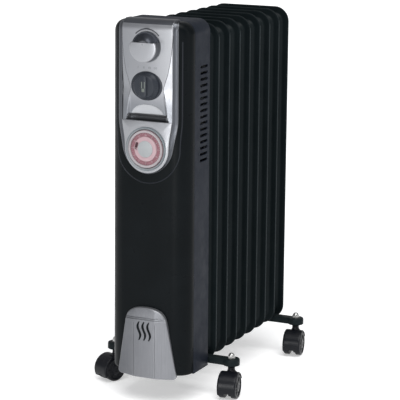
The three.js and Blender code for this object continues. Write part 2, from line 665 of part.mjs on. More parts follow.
function makeTimer() {
  const bodyFront = HOUSE_FRONT_Y + WALL + 4;
  const square = roundedRectangle(
    -TIMER_BODY_HALF, TIMER_BODY_HALF, TIMER_Z - TIMER_BODY_HALF, TIMER_Z + TIMER_BODY_HALF, 4);
  const body = slabY(square, bodyFront, bodyFront + 30, 3);
  const neck = rodY(TIMER_BODY_HALF, 0, TIMER_Z, DIAL_REAR_Y + GAP, bodyFront + 1);
  const spindle = rodY(SPINDLE_RADIUS, 0, TIMER_Z, DIAL_FRONT_Y - 1.6, bodyFront, SMALL_ROUND);
  add('timer_body', join(body, neck, spindle), WHITE_PLASTIC);

  const bezelRear = TIMER_SEAT_Y - GAP;
  add('timer_bezel', turnedY([
    [TIMER_MOUTH, bezelRear], [TIMER_BEZEL_RADIUS, bezelRear],
    [TIMER_BEZEL_RADIUS - 0.6, bezelRear - 2.2], [TIMER_MOUTH + 1.4, bezelRear - 2.8],
    [TIMER_MOUTH, bezelRear - 1.4], [TIMER_MOUTH, bezelRear],
  ], 0, TIMER_Z, DISC_ROUND), PALE_GREY);

  const dial = turnedY([
    [SPINDLE_RADIUS + GAP, DIAL_REAR_Y], [DIAL_RADIUS, DIAL_REAR_Y],
    [DIAL_RADIUS, DIAL_FRONT_Y], [SPINDLE_RADIUS + GAP, DIAL_FRONT_Y], [SPINDLE_RADIUS + GAP, DIAL_REAR_Y],
  ], 0, TIMER_Z, DISC_ROUND);
  add('timer_dial', dial, GLASS_PINK);
  const tappets = slabY(tappetOutline(), DIAL_FRONT_Y - GAP - 1.6, DIAL_FRONT_Y - GAP, 12);
  add('timer_tappet_ring', tappets, WHITE_PLASTIC);

  const hubRear = DIAL_FRONT_Y - GAP;
  const hub = turnedY([
    [0, hubRear], [HUB_DISC_RADIUS, hubRear], [HUB_DISC_RADIUS, hubRear - 1.4],
    [HUB_DISC_RADIUS - 1.2, hubRear - 2.4], [0, hubRear - 2.4],
  ], 0, TIMER_Z, DISC_ROUND);
  const seat = rodY(SPINDLE_RADIUS + GAP, 0, TIMER_Z, hubRear - 1.5, hubRear + 1, SMALL_ROUND);
  const slotHalf = OVERRIDE_HALF_LENGTH + OVERRIDE_TRAVEL / 2 + 0.4;
  const slot = slabY(overrideOutline(slotHalf, OVERRIDE_HALF_WIDTH + 0.4), hubRear - 5, hubRear + 2);
  add('timer_hub', cut(hub, seat, slot), PALE_GREY);
  const lever = slabY(
    overrideOutline(OVERRIDE_HALF_LENGTH, OVERRIDE_HALF_WIDTH, -OVERRIDE_TRAVEL / 2),
    hubRear - 3.6,
    hubRear - 0.4);
  add('timer_override', lever, DARK_RED);
}

// ---- lower cover ----

function coverOutline(inset, bottom) {
  const topZ = COVER_TOP - inset;
  const halfBottom = COVER_HALF_BOTTOM - inset;
  const halfTop = COVER_HALF_TOP - inset;
  const shape = new THREE.Shape();
  shape.moveTo(-halfBottom, bottom);
  shape.lineTo(halfBottom, bottom);
  shape.lineTo(halfTop, topZ - 23);
  shape.bezierCurveTo(halfTop - 2, topZ - 6, halfTop - 14, topZ, 0, topZ);
  shape.bezierCurveTo(-halfTop + 14, topZ, -halfTop + 2, topZ - 6, -halfTop, topZ - 23);
  shape.closePath();
  return shape;
}

function coverPlan(inset) {
  const shape = new THREE.Shape();
  const front = COVER_FRONT_Y + inset;
  shape.moveTo(-60, COVER_REAR_Y);
  shape.lineTo(-56, COVER_SIDE_Y + 6 + inset);
  shape.lineTo(-COVER_HALF_BOTTOM, COVER_SIDE_Y + inset);
  shape.lineTo(-COVER_CREASE_X, front);
  shape.lineTo(COVER_CREASE_X, front);
  shape.lineTo(COVER_HALF_BOTTOM, COVER_SIDE_Y + inset);
  shape.lineTo(56, COVER_SIDE_Y + 6 + inset);
  shape.lineTo(60, COVER_REAR_Y);
  shape.closePath();
  return shape;
}

function makeLowerCover() {
  const outside = slabY(coverOutline(0, COVER_BOTTOM), AHEAD, COVER_REAR_Y)
    .intersect(slabZ(coverPlan(0), COVER_BOTTOM - 1, COVER_TOP + 1));
  const inside = slabY(coverOutline(COVER_WALL, COVER_BOTTOM - 9), AHEAD, COVER_REAR_Y + 1)
    .intersect(slabZ(coverPlan(COVER_WALL), COVER_BOTTOM - 9, COVER_TOP + 1));
  const waves = [-WAVE_PITCH, 0, WAVE_PITCH].map(
    (x) => slabY(waveOutline(x), COVER_FRONT_Y - WAVE_PROUD, COVER_FRONT_Y + 1, 4));
  const cover = join(cut(outside, inside, frontForm(GAP, COVER_REAR_Y + 20)), ...waves);
  add('lower_cover', tapered(cover), COVER_SILVER);
}

// Outline of one upright wavy rib, the common sign for heat.
function waveOutline(x) {
  const edge = (offset) => Array.from({ length: WAVE_STEPS + 1 }, (_, i) => {
    const share = i / WAVE_STEPS;
    const swing = WAVE_SWING * Math.sin(2 * Math.PI * share);
    return new THREE.Vector2(x + offset + swing, WAVE_BOTTOM + share * WAVE_HEIGHT);
  });
  return new THREE.Shape([...edge(WAVE_HALF_WIDTH), ...edge(-WAVE_HALF_WIDTH).reverse()]);
}

// ---- wiring ----

function makeWiring() {
  const blockY = SHIELD_REAR_Y - SHIELD_THICK - GAP;
  const block = box(-24, 24, blockY - 14, blockY, BLOCK_Z - 9, BLOCK_Z + 9);
  const ways = [];
  for (const x of [-15, 0, 15]) {
    ways.push(rodY(3, x, BLOCK_Z, blockY - 15, blockY - 8, 8));
    ways.push(rodZ(2, x, blockY - 5, BLOCK_Z - 15, BLOCK_Z + 15, 8));
  }
  add('terminal_block', cut(block, ...ways), WHITE_PLASTIC);

  const cutout = join(
    rodY(9, CUTOUT_X, CUTOUT_Z, blockY - 7, blockY),
    box(CUTOUT_X - 13, CUTOUT_X + 13, blockY - 1.5, blockY, CUTOUT_Z - 5, CUTOUT_Z + 5),
    box(CUTOUT_X - 5, CUTOUT_X - 3, blockY - 14, blockY - 5, CUTOUT_Z - 2, CUTOUT_Z + 2),
    box(CUTOUT_X + 3, CUTOUT_X + 5, blockY - 14, blockY - 5, CUTOUT_Z - 2, CUTOUT_Z + 2));
  add('thermal_cutout', cutout, BROWN_PLASTIC);

  add('cord_gland', turnedZ([
    [4, HOUSE_BOTTOM - 3], [10, HOUSE_BOTTOM - 3], [10, HOUSE_BOTTOM - GAP], [6.6, HOUSE_BOTTOM - GAP],
    [6.6, HOUSE_BOTTOM + WALL + GAP], [8.5, HOUSE_BOTTOM + WALL + GAP],
    [7.2, HOUSE_BOTTOM + 9], [4, HOUSE_BOTTOM + 9], [4, HOUSE_BOTTOM - 3],
  ], GLAND_X, GLAND_Y), BLACK_GLOSS);
}

// ---- legs ----

function legOutline(inset) {
  const half = LEG_HALF_WIDTH - inset;
  const radius = PAD_RADIUS - inset;
  const angle = Math.asin(half / radius);
  const neck = CASTOR_X - radius * Math.cos(angle);
  const shape = new THREE.Shape();
  shape.moveTo(-neck, -half);
  shape.lineTo(neck, -half);
  shape.absarc(CASTOR_X, 0, radius, Math.PI + angle, 3 * Math.PI - angle, false);
  shape.lineTo(-neck, half);
  shape.absarc(-CASTOR_X, 0, radius, angle, 2 * Math.PI - angle, false);
  return shape;
}

function makeLeg(name, y) {
  const bottom = LEG_TOP - LEG_HEIGHT;
  const outside = slabZ(legOutline(0), bottom, LEG_TOP, 5);
  const inside = slabZ(legOutline(LEG_PLATE), bottom - 5, LEG_TOP - LEG_PLATE, 5);
  const hole = (radius, x) => rodZ(radius + GAP, x, 0, bottom, LEG_TOP + 5, SMALL_ROUND);
  const holes = [-CASTOR_X, CASTOR_X].map((x) => hole(STEM_RADIUS, x));
  const hooks = [-CLAMP_HALF, CLAMP_HALF].map((x) => hole(CLAMP_ROD, x));
  const leg = add(name, cut(outside, inside, ...holes, ...hooks), BLACK_ENAMEL);
  leg.position.y = y;
}

// U-bolt that hangs over the lower hub collars and pulls the leg up against them.
function makeClamp(name, y) {
  const arch = new THREE.EllipseCurve(0, 0, CLAMP_HALF, CLAMP_HALF, -0.03, Math.PI + 0.03, false, 0);
  const points = arch.getPoints(10).map((p) => new THREE.Vector3(p.x, 0, HUB_LOW_Z + p.y));
  const section = new THREE.Shape();
  section.absarc(0, 0, CLAMP_ROD - 0.02, 0, 2 * Math.PI, false);
  const bend = new THREE.ExtrudeGeometry(section, {
    steps: 10,
    curveSegments: 4,
    extrudePath: new THREE.CatmullRomCurve3(points),
  });
  const shanks = [-CLAMP_HALF, CLAMP_HALF].map((x) => rodZ(CLAMP_ROD, x, 0, LEG_TOP - 10, HUB_LOW_Z, 8));
  const nuts = [-CLAMP_HALF, CLAMP_HALF].map(
    (x) => rodZ(5, x, 0, LEG_TOP - LEG_PLATE - GAP - 5, LEG_TOP - LEG_PLATE - GAP, 6));
  const clamp = add(name, join(solid(bend), ...shanks, ...nuts), STEEL);
  clamp.position.y = y;
}

// ---- castors ----

// Twin wheel castor. Its own frame has the swivel axis on Z and the axle along X at y = -trail.
function makeCastor({ name, side, y, yaw }) {
  const group = new THREE.Group();
  group.position.set(side * CASTOR_X, y, 0);
  part.add(group);

  const nutBottom = LEG_TOP + GAP;
  const nutTop = nutBottom + DOME_HEIGHT;
  const nut = join(
    rodZ(NUT_RADIUS, 0, 0, nutBottom, nutBottom + NUT_HEIGHT, 6),
    turnedZ([
      [0, nutBottom], [DOME_RADIUS, nutBottom], [DOME_RADIUS, nutTop - 3.5],
      [DOME_RADIUS - 0.7, nutTop - 1.6], [DOME_RADIUS - 2.3, nutTop - 0.5], [0, nutTop],
    ], 0, 0, SMALL_ROUND));
  const nutBore = rodZ(STEM_RADIUS + GAP, 0, 0, nutBottom - 1, nutTop - 2.5, SMALL_ROUND);
  add(`castor_${name}_nut`, cut(nut, nutBore), CHROME, group);

  const shoulder = LEG_TOP - LEG_PLATE - GAP;
  add(`castor_${name}_stem`, turnedZ([
    [0, 26], [PIN_RADIUS, 26], [PIN_RADIUS, HOOD_TOP + GAP], [5, HOOD_TOP + GAP], [5, HOOD_TOP + 2],
    [STEM_RADIUS, HOOD_TOP + 2.4], [STEM_RADIUS, shoulder - 4], [8, shoulder - 4], [8, shoulder],
    [STEM_RADIUS, shoulder], [STEM_RADIUS, nutTop - 3], [0, nutTop - 3],
  ], 0, 0, SMALL_ROUND), STEEL, group);

  const swivel = new THREE.Group();
  swivel.rotation.z = THREE.MathUtils.degToRad(yaw);
  group.add(swivel);

  const axleY = -CASTOR_TRAIL;
  const across = WHEEL_GAP_HALF + WHEEL_WIDTH;
  const webHalf = WHEEL_GAP_HALF - 0.5;
  const fender = cut(
    rodX(HOOD_RADIUS, axleY, WHEEL_RADIUS, -across, across, HOOD_SIDES),
    rodX(HOOD_INNER, axleY, WHEEL_RADIUS, -across - 1, across + 1, HOOD_SIDES),
    box(-across - 1, across + 1, axleY - 30, axleY + 0.1, -10, HOOD_FRONT_Z),
    box(-across - 1, across + 1, axleY, axleY + 30, -10, HOOD_REAR_Z),
    rodY(HOOD_NOTCH, 0, HOOD_FRONT_Z, axleY - 30, axleY, SMALL_ROUND));
  const web = cut(
    rodX(HOOD_INNER + 0.6, axleY, WHEEL_RADIUS, -webHalf, webHalf, HOOD_SIDES),
    box(-30, 30, axleY - 30, axleY + 30, -10, 11));
  const boss = cut(
    rodZ(BOSS_RADIUS, 0, 0, WHEEL_RADIUS, HOOD_TOP),
    rodX(HOOD_INNER, axleY, WHEEL_RADIUS, -across - 1, across + 1, HOOD_SIDES));
  const neck = box(-webHalf, webHalf, -7, 7.2, 24, WHEEL_RADIUS + 20);
  const hood = cut(
    join(fender, web, boss, neck),
    rodX(AXLE_RADIUS + GAP, axleY, WHEEL_RADIUS, -across - 2, across + 2, ROUND),
    rodZ(PIN_RADIUS + GAP, 0, 0, 24, HOOD_TOP + 1, ROUND));
  add(`castor_${name}_hood`, hood, BLACK_GLOSS, swivel);
  const axle = rodX(AXLE_RADIUS, axleY, WHEEL_RADIUS, -across + 2, across - 2, 12);
  add(`castor_${name}_axle`, axle, STEEL, swivel);

  const wheel = wheelForm();
  for (const [letter, sign] of [['left', -1], ['right', 1]]) {
    const form = sign > 0 ? wheel : wheel.mirror([1, 0, 0]);
    const mesh = add(`castor_${name}_wheel_${letter}`, form, BLACK_GLOSS, swivel);
    mesh.position.set(0, axleY, WHEEL_RADIUS);
  }
}

// Right-hand wheel about the X axis: a tread of flats, one of them level underneath, a shallow
// dish inside and a domed cap outside.
function wheelForm() {
  const circumscribed = WHEEL_RADIUS / Math.cos(Math.PI / WHEEL_SIDES);
  const inner = WHEEL_GAP_HALF;
  const outer = inner + WHEEL_WIDTH;
  const profile = [
    [AXLE_RADIUS + GAP, inner], [circumscribed, inner], [circumscribed, outer - 2.5],
    [circumscribed - 2.5, outer], [AXLE_RADIUS + GAP, outer], [AXLE_RADIUS + GAP, inner],
  ].map(([radius, along]) => new THREE.Vector2(radius, along));
  const geometry = new THREE.LatheGeometry(profile, WHEEL_SIDES);
  geometry.rotateY(Math.PI / WHEEL_SIDES);
  geometry.rotateZ(-Math.PI / 2);
  return solid(geometry);
}

// ---- assembly ----

makeFins();
makeFillerPlug();
makeElement();
makeFrontPanel();
makeSideFrame();
makeHeatShield();
makeFascia();
makeThermostat();
makeSelector();
makeTimer();
makeLowerCover();
makeWiring();
makeLeg('front_leg', LEG_FRONT_Y);
makeLeg('rear_leg', LEG_REAR_Y);
makeClamp('front_leg_clamp', LEG_FRONT_Y);
makeClamp('rear_leg_clamp', LEG_REAR_Y);
CASTORS.forEach(makeCastor);

part.position.set(CENTRE_X, 0, 0);

export default part;
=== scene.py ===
"""Oil filled radiator heater: the visible skin, knobs, timer, fins, legs and castors over the CAD frame.

Points are worked out in millimetres about the heater's upright mid-plane, in the CAD's directions:
+X to the right of the control side, -Y towards it, +Z up. make() turns them into metres.
"""

from math import asin, atan2, copysign, cos, exp, inf, pi, radians, sin, sqrt

import bmesh
import bpy
from mathutils import Matrix, Vector


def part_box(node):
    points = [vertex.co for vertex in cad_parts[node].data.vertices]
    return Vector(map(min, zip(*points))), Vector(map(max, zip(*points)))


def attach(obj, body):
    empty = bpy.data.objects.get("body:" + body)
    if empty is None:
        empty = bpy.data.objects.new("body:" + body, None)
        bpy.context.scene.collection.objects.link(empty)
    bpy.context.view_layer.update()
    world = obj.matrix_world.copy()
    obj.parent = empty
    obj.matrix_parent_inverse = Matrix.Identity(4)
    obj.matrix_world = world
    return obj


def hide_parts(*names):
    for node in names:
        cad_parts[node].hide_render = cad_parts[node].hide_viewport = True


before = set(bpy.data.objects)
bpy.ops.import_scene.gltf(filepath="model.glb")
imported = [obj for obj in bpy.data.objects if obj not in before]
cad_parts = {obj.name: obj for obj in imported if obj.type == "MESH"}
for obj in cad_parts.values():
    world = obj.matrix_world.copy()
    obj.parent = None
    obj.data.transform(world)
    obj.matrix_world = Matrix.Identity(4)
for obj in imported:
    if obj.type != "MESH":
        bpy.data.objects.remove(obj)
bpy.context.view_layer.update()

MM = 0.001
MIDDLE_X = sum(corner[0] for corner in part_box("fin_1")) / 2
MIDDLE = Vector((MIDDLE_X, 0, 0))
FULL_TURN = 2 * pi
SIDES = (-1, 1)


def span(node):
    """Lowest and highest corner of a CAD node, in millimetres about the mid-plane."""
    low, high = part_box(node)
    return (Vector(low) - MIDDLE) / MM, (Vector(high) - MIDDLE) / MM


def centre_of(node):
    low, high = span(node)
    return (low + high) / 2


# ---------------------------------------------------------------- mesh building


def circle(count):
    """Cosine and sine of evenly spaced angles round a full turn."""
    return [(cos(a), sin(a)) for a in (FULL_TURN * i / count for i in range(count))]


class Form:
    """A mesh in the making: points in millimetres, and faces with their material slots."""

    def __init__(self):
        self.points = []
        self.faces = []
        self.slots = []

    def ring(self, points):
        start = len(self.points)
        self.points.extend(Vector(p) for p in points)
        return list(range(start, len(self.points)))

    def face(self, corners, slot=0):
        self.faces.append(tuple(corners))
        self.slots.append(slot)

    def bridge(self, a, b, slot=0, closed=True):
        count = len(a)
        for i in range(count if closed else count - 1):
            j = (i + 1) % count
            self.face((a[i], a[j], b[j], b[i]), slot)

    def loft(self, loops, slot=0, closed=True, first_cap=False, last_cap=False):
        rings = [self.ring(loop) for loop in loops]
        for a, b in zip(rings, rings[1:]):
            self.bridge(a, b, slot, closed)
        if first_cap:
            self.face(rings[0][::-1], slot)
        if last_cap:
            self.face(rings[-1], slot)
        return rings

    def turn(self, profile, place=Matrix.Identity(4), sides=64, slot=0):
        """A turned body: profile is (radius, height) along the local Z axis, moved by place."""
        return self.loft([[place @ Vector((r * c, r * s, height)) for c, s in circle(sides)]
                          for r, height in profile], slot)

    def block(self, low, high, edge=0.6, place=Matrix.Identity(4)):
        """A box with broken edges, between two corners."""
        centre = (Vector(low) + Vector(high)) / 2
        half = (Vector(high) - Vector(low)) / 2
        loops = []
        for height, inset in ((-1, edge), (-1, 0), (1, 0), (1, edge)):
            z = centre.z + height * (half.z if inset else half.z - edge)
            x, y = half.x - inset, half.y - inset
            outline = [
                (x, -y + edge), (x, y - edge), (x - edge, y), (-x + edge, y),
                (-x, y - edge), (-x, -y + edge), (-x + edge, -y), (x - edge, -y),
            ]
            loops.append([place @ Vector((centre.x + a, centre.y + b, z)) for a, b in outline])
        return self.loft(loops, first_cap=True, last_cap=True)

    def tube(self, path, radius, sides=16):
        """A round bar along a list of points."""
        path = [Vector(p) for p in path]
        loops = []
        side = None
        for i, point in enumerate(path):
            along = (path[min(i + 1, len(path) - 1)] - path[max(i - 1, 0)]).normalized()
            if side is None:
                side = along.orthogonal().normalized()
            side = (side - along * side.dot(along)).normalized()
            other = along.cross(side)
            loops.append([point + radius * (c * side + s * other) for c, s in circle(sides)])
        return self.loft(loops, first_cap=True, last_cap=True)


def add(name, data):
    """A new object of that name in the scene."""
    made = bpy.data.objects.new(name, data)
    bpy.context.scene.collection.objects.link(made)
    return made


def make(name, form, paints, stands_for=(), body="radiator", crease=32):
    """The form as an object in metres, smooth except at creases, riding on a CAD body."""
    mesh = bpy.data.meshes.new(name)
    mesh.from_pydata([tuple(p * MM + MIDDLE) for p in form.points], [], form.faces)
    for paint in paints:
        mesh.materials.append(paint)
    mesh.polygons.foreach_set("material_index", form.slots)
    shape = bmesh.new()
    shape.from_mesh(mesh)
    bmesh.ops.remove_doubles(shape, verts=shape.verts, dist=0.002 * MM)
    bmesh.ops.dissolve_degenerate(shape, edges=shape.edges, dist=0.001 * MM)
    bmesh.ops.recalc_face_normals(shape, faces=shape.faces)
    shape.to_mesh(mesh)
    shape.free()
    mesh.shade_smooth()
    mesh.set_sharp_from_angle(angle=radians(crease))
    piece = add(name, mesh)
    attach(piece, body)
    if stands_for:
        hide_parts(*stands_for)
    return piece


def settle(piece):
    """Applies a piece's modifiers to its mesh."""
    bpy.context.view_layer.update()
    seen = piece.evaluated_get(bpy.context.evaluated_depsgraph_get())
    mesh = bpy.data.meshes.new_from_object(seen)
    piece.modifiers.clear()
    piece.data = mesh


def cut(piece, form, crease=32):
    """Cuts a closed form out of a piece."""
    cutter = make("cutter", form, [])
    change = piece.modifiers.new("cut", "BOOLEAN")
    change.operation = "DIFFERENCE"
    change.solver = "EXACT"
    change.object = cutter
    settle(piece)
    bpy.data.objects.remove(cutter)
    piece.data.set_sharp_from_angle(angle=radians(crease))


def blend(a, b, share):
    return a + (b - a) * share


def ease(low, high, value):
    """0 at low and beyond, 1 at high and beyond, and a smooth step between them."""
    share = min(max((value - low) / (high - low), 0.0), 1.0)
    return share * share * (3 - 2 * share)


def bezier(points, steps):
    """Points on a cubic Bezier curve, both ends included."""
    a, b, c, d = (Vector(p) for p in points)
    found = []
    for i in range(steps + 1):
        t = i / steps
        u = 1 - t
        found.append(u * u * u * a + 3 * u * u * t * b + 3 * u * t * t * c + t * t * t * d)
    return found


def facing(x, y, z):
    """Places a turned body's axis on the line at x and z, rising towards the control side from y."""
    turn = Matrix(((1, 0, 0), (0, 0, -1), (0, 1, 0))).to_4x4()
    return moved(x, y, z) @ turn


def moved(x, y, z):
    """Shifts by a distance in millimetres."""
    return Matrix.Translation((x, y, z))


def spun(degrees, axis="Z"):
    """Turns about an axis through the origin."""
    return Matrix.Rotation(radians(degrees), 4, axis)


def control(node, z):
    """Radius, depth and place of a round control on the front, its axis at height z."""
    low, high = span(node)
    return (high.x - low.x) / 2, high.y - low.y, facing(0, high.y, z)


def rounded(half_x, low_z, high_z, radius, steps=8):
    """Points (x, z) round an upright rectangle with round corners."""
    top, foot = high_z - radius, low_z + radius
    found = []
    for side, z, start in ((1, top, 0), (-1, top, 90), (-1, foot, 180), (1, foot, 270)):
        for i in range(steps + 1):
            angle = radians(start + 90 * i / steps)
            found.append((side * (half_x - radius) + radius * cos(angle), z + radius * sin(angle)))
    return found


# ---------------------------------------------------------------- materials


class Paint:
    """A node material with one Principled shader, worked in the objects' own metres."""

    def __init__(self, name, colour, roughness, metallic=0.0, **uniform):
        self.material = bpy.data.materials.new(name)
        self.material.use_nodes = True
        self.tree = self.material.node_tree
        self.shader = self.tree.nodes["Principled BSDF"]
        self.shader.inputs["Base Color"].default_value = (*colour, 1)
        self.shader.inputs["Roughness"].default_value = roughness
        self.shader.inputs["Metallic"].default_value = metallic
        for socket, value in uniform.items():
            self.shader.inputs[socket.replace("_", " ")].default_value = value
        self.place = self.node("ShaderNodeTexCoord", {})["Object"]
        self.normal = None

    def feed(self, socket, value):
        """Links a socket to another node's output, or sets its value."""
        if isinstance(value, bpy.types.NodeSocket):
            self.tree.links.new(value, socket)
        else:
            socket.default_value = value

    def node(self, kind, inputs, **settings):
        """The outputs of a new node, whose inputs are values or other nodes' outputs."""
        made = self.tree.nodes.new(kind)
        for setting, value in settings.items():
            setattr(made, setting, value)
        for socket, value in inputs.items():
            self.feed(made.inputs[socket], value)
        return made.outputs

    def math(self, operation, a, b=0.0, clamp=False):
        return self.node("ShaderNodeMath", {0: a, 1: b}, operation=operation, use_clamp=clamp)[0]

    def noise(self, size, detail=3.0, stretch=(1, 1, 1)):
        """Noise whose blotches are about size millimetres across, stretched by stretch."""
        scale = [1 / (size * MM * s) for s in stretch]
        place = self.node("ShaderNodeMapping", {"Vector": self.place, "Scale": scale})[0]
        return self.node("ShaderNodeTexNoise", {"Vector": place, "Scale": 1.0, "Detail": detail})["Fac"]

    def grade(self, value, low, high, start=0.0, end=1.0):
        """Maps value from low..high to start..end."""
        limits = {"From Min": low, "From Max": high, "To Min": start, "To Max": end}
        return self.node("ShaderNodeMapRange", {**limits, "Value": value})[0]

    def tint(self, share, colour):
        """Mixes the base colour towards colour by share."""
        base = self.shader.inputs["Base Color"]
        below = base.links[0].from_socket if base.links else base.default_value
        layers = {"A": below, "B": (*colour, 1), "Factor": share}
        self.feed(base, self.node("ShaderNodeMix", layers, data_type="RGBA")["Result"])
        return self

    def blotch(self, size, detail, amount, colour):
        """Mixes in blotches of another colour."""
        return self.tint(self.grade(self.noise(size, detail), 0.35, 0.7, 0.0, amount), colour)

    def vary_roughness(self, value, low, high):
        self.feed(self.shader.inputs["Roughness"], self.grade(value, 0.3, 0.7, low, high))

    def bump(self, value, height):
        """Raises the surface by value times height millimetres."""
        shape = {"Strength": 1.0, "Distance": height * MM, "Height": value}
        if self.normal:
            shape["Normal"] = self.normal
        self.normal = self.node("ShaderNodeBump", shape)[0]
        self.feed(self.shader.inputs["Normal"], self.normal)

    def axes(self, vector=None):
        """The X, Y and Z of a vector, or else of the place on the object."""
        return self.node("ShaderNodeSeparateXYZ", {0: vector or self.place})

    def facing_up(self):
        """How far the surface looks up."""
        normal = self.node("ShaderNodeNewGeometry", {})["Normal"]
        return self.grade(self.axes(normal)["Z"], 0.2, 1.0)

    def wear(self, amount, colour):
        """Lightens the edges, where the surface bends sharply outwards."""
        edge = self.grade(self.node("ShaderNodeNewGeometry", {})["Pointiness"], 0.51, 0.58)
        self.tint(self.grade(edge, 0, 1, 0.0, amount), colour)


DUST = (0.30, 0.29, 0.27)


def dusty(paint, amount):
    """A thin veil of dust on what looks up, broken by noise."""
    veil = paint.math("MULTIPLY", paint.facing_up(), paint.grade(paint.noise(9, 5), 0.35, 0.75))
    return paint.tint(paint.math("MULTIPLY", veil, amount, clamp=True), DUST)


def moulded(name, colour, roughness, gloss, blotch, sheen, bumps):
    """A plain finish. Its blotches, sheen and bumps each begin with their noise's size and detail."""
    paint = Paint(name, colour, roughness, Specular_IOR_Level=gloss)
    paint.blotch(*blotch)
    paint.vary_roughness(paint.noise(*sheen[:2]), *sheen[2:])
    for size, detail, height in bumps:
        paint.bump(paint.noise(size, detail), height)
    return paint


def gloss_black(name, colour, streak, roughness, gloss):
    """Glossy dark moulding with wide faint streaks and a slightly uneven skin."""
    sheen = (22, 4, roughness - 0.05, roughness + 0.08)
    bumps = ((2.2, 2, 0.012), (0.5, 3, 0.004))
    return dusty(moulded(name, colour, roughness, gloss, (60, 2, 0.6, streak), sheen, bumps), 0.03).material


def enamel(name):
    """Black stoved enamel."""
    return dusty(moulded(name, (0.0070, 0.0105, 0.0118), 0.38, 0.06, (45, 3, 0.7, (0.0095, 0.0135, 0.0150)),
                         (14, 4, 0.30, 0.44), [(1.3, 3, 0.018)]), 0.04)


SEAM_INSET = 6
SEAM_HALF = (0.6, 1.3)
# Insets from the rim over which its painted highlight fades in.
RIM_HIGHLIGHT_INSETS = (1.3, 0.5)
RIPPLE_PITCH = 1.8


def fin_enamel():
    """The fins' enamel, with a painted highlight along the rim and the seam weld's ripple beside it."""
    paint = enamel("fin_enamel")
    x, _, z = paint.axes()
    from_middle = paint.math("ABSOLUTE", paint.math("SUBTRACT", x, MIDDLE_X))
    rim_x = span("fin_1")[1].x
    off_seam = paint.math("ABSOLUTE", paint.math("SUBTRACT", from_middle, (rim_x - SEAM_INSET) * MM))
    seam = paint.grade(off_seam, *(half * MM for half in SEAM_HALF), 1, 0)
    # Painted highlight: the rim is tinted lighter over its outer edge.
    paint.tint(paint.grade(from_middle, *((rim_x - inset) * MM for inset in RIM_HIGHLIGHT_INSETS)), (0.026, 0.032, 0.035))
    ripple = paint.math("SINE", paint.math("MULTIPLY", z, FULL_TURN / (RIPPLE_PITCH * MM)))
    paint.bump(paint.math("MULTIPLY", seam, paint.grade(ripple, -1, 1)), 0.10)
    return paint.material


def side_black():
    """The side frame's blue-black moulding, with a fine spark texture."""
    blotch = (70, 2, 0.7, (0.0130, 0.0160, 0.0238))
    return dusty(moulded("side_black", (0.0098, 0.0130, 0.0205), 0.46, 0.06, blotch,
                         (16, 4, 0.42, 0.54), [(0.45, 2, 0.020)]), 0.03).material


def silver_lacquer(name, colour, roughness, shade):
    """Metallic lacquer: fine flakes in its colour and sheen, and worn, brighter edges."""
    paint = Paint(name, colour, roughness, 0.82, Coat_Weight=0.15, Coat_Roughness=0.2)
    flakes = paint.noise(0.35, 1)
    paint.tint(paint.grade(flakes, 0.35, 0.65, 0.0, 0.35), shade)
    paint.blotch(40, 3, 0.25, shade)
    paint.wear(0.12, (0.75, 0.76, 0.78))
    paint.vary_roughness(paint.noise(7, 4), roughness - 0.04, roughness + 0.06)
    paint.bump(flakes, 0.006)
    return dusty(paint, 0.06)


def toned_left(paint, dark_x, full_x, amount, shade):
    """Painted shade: darker from full_x towards dark_x, both in metres from the mid-plane."""
    x, _, _ = paint.axes()
    return paint.tint(paint.grade(x, MIDDLE_X + full_x, MIDDLE_X + dark_x, 0.0, amount), shade)


def plate_lacquer():
    """The plate's silver, with painted shade: darker low down on both sides of the scoop and towards the
    left.
    """
    paint = silver_lacquer("plate_lacquer", (0.34, 0.347, 0.365), 0.34, (0.26, 0.267, 0.287))
    _, _, z = paint.axes()
    # Painted shade: darker low down on the plate.
    paint.tint(paint.grade(z, 0.500, 0.478, 0.0, 0.60), (0.115, 0.125, 0.145))
    # Painted shade: darker towards the left.
    return toned_left(paint, -0.045, 0.020, 0.5, (0.165, 0.175, 0.195)).material


def hollow_lacquer():
    """The hollow above the timer plate, silver at its lip and darkened at its foot as painted shade."""
    paint = silver_lacquer("hollow_lacquer", (0.34, 0.35, 0.37), 0.40, (0.27, 0.28, 0.30))
    _, _, z = paint.axes()
    # Painted shade: darker towards the foot of the hollow.
    return paint.tint(paint.grade(z, 0.4650, 0.4545, 0.0, 0.9), (0.075, 0.080, 0.092)).material


def brushed_cover():
    """The lower cover's grey metallic finish, drawn out in fine upright lines, with painted shade darkening
    its left side.
    """
    paint = Paint("cover_lacquer", (0.215, 0.22, 0.235), 0.40, 0.72)
    lines = paint.noise(1.0, 3, (1, 1, 40))
    paint.tint(paint.grade(lines, 0.35, 0.65, 0.0, 0.5), (0.150, 0.155, 0.170))
    paint.blotch(45, 3, 0.3, (0.155, 0.160, 0.175))
    paint.wear(0.4, (0.62, 0.63, 0.65))
    paint.vary_roughness(paint.noise(9, 4), 0.38, 0.50)
    paint.bump(lines, 0.010)
    # Painted shade: darker towards the left.
    toned_left(paint, -0.050, 0.015, 0.62, (0.060, 0.064, 0.072))
    return dusty(paint, 0.05).material


def steel(name, colour, roughness, grain=(1, 1, 1)):
    """Plated or turned metal, with grain drawn along an axis and blotches of tarnish."""
    paint = Paint(name, colour, roughness, 1.0)
    dark = tuple(c * 0.62 for c in colour)
    paint.tint(paint.grade(paint.noise(6, 5), 0.45, 0.75, 0.0, 0.45), dark)
    lines = paint.noise(0.6, 3, grain)
    paint.vary_roughness(lines, roughness - 0.05, roughness + 0.10)
    paint.bump(lines, 0.008)
    return paint.material


def plastic(name, colour, roughness, mottle=0.85, grain=0.6):
    """Plain moulded plastic with a fine grain and a slightly uneven colour."""
    blotch = (12, 4, 0.6, tuple(c * mottle for c in colour))
    sheen = (5, 3, roughness - 0.05, roughness + 0.08)
    return dusty(moulded(name, colour, roughness, 0.4, blotch, sheen, [(grain, 3, 0.010)]), 0.05).material


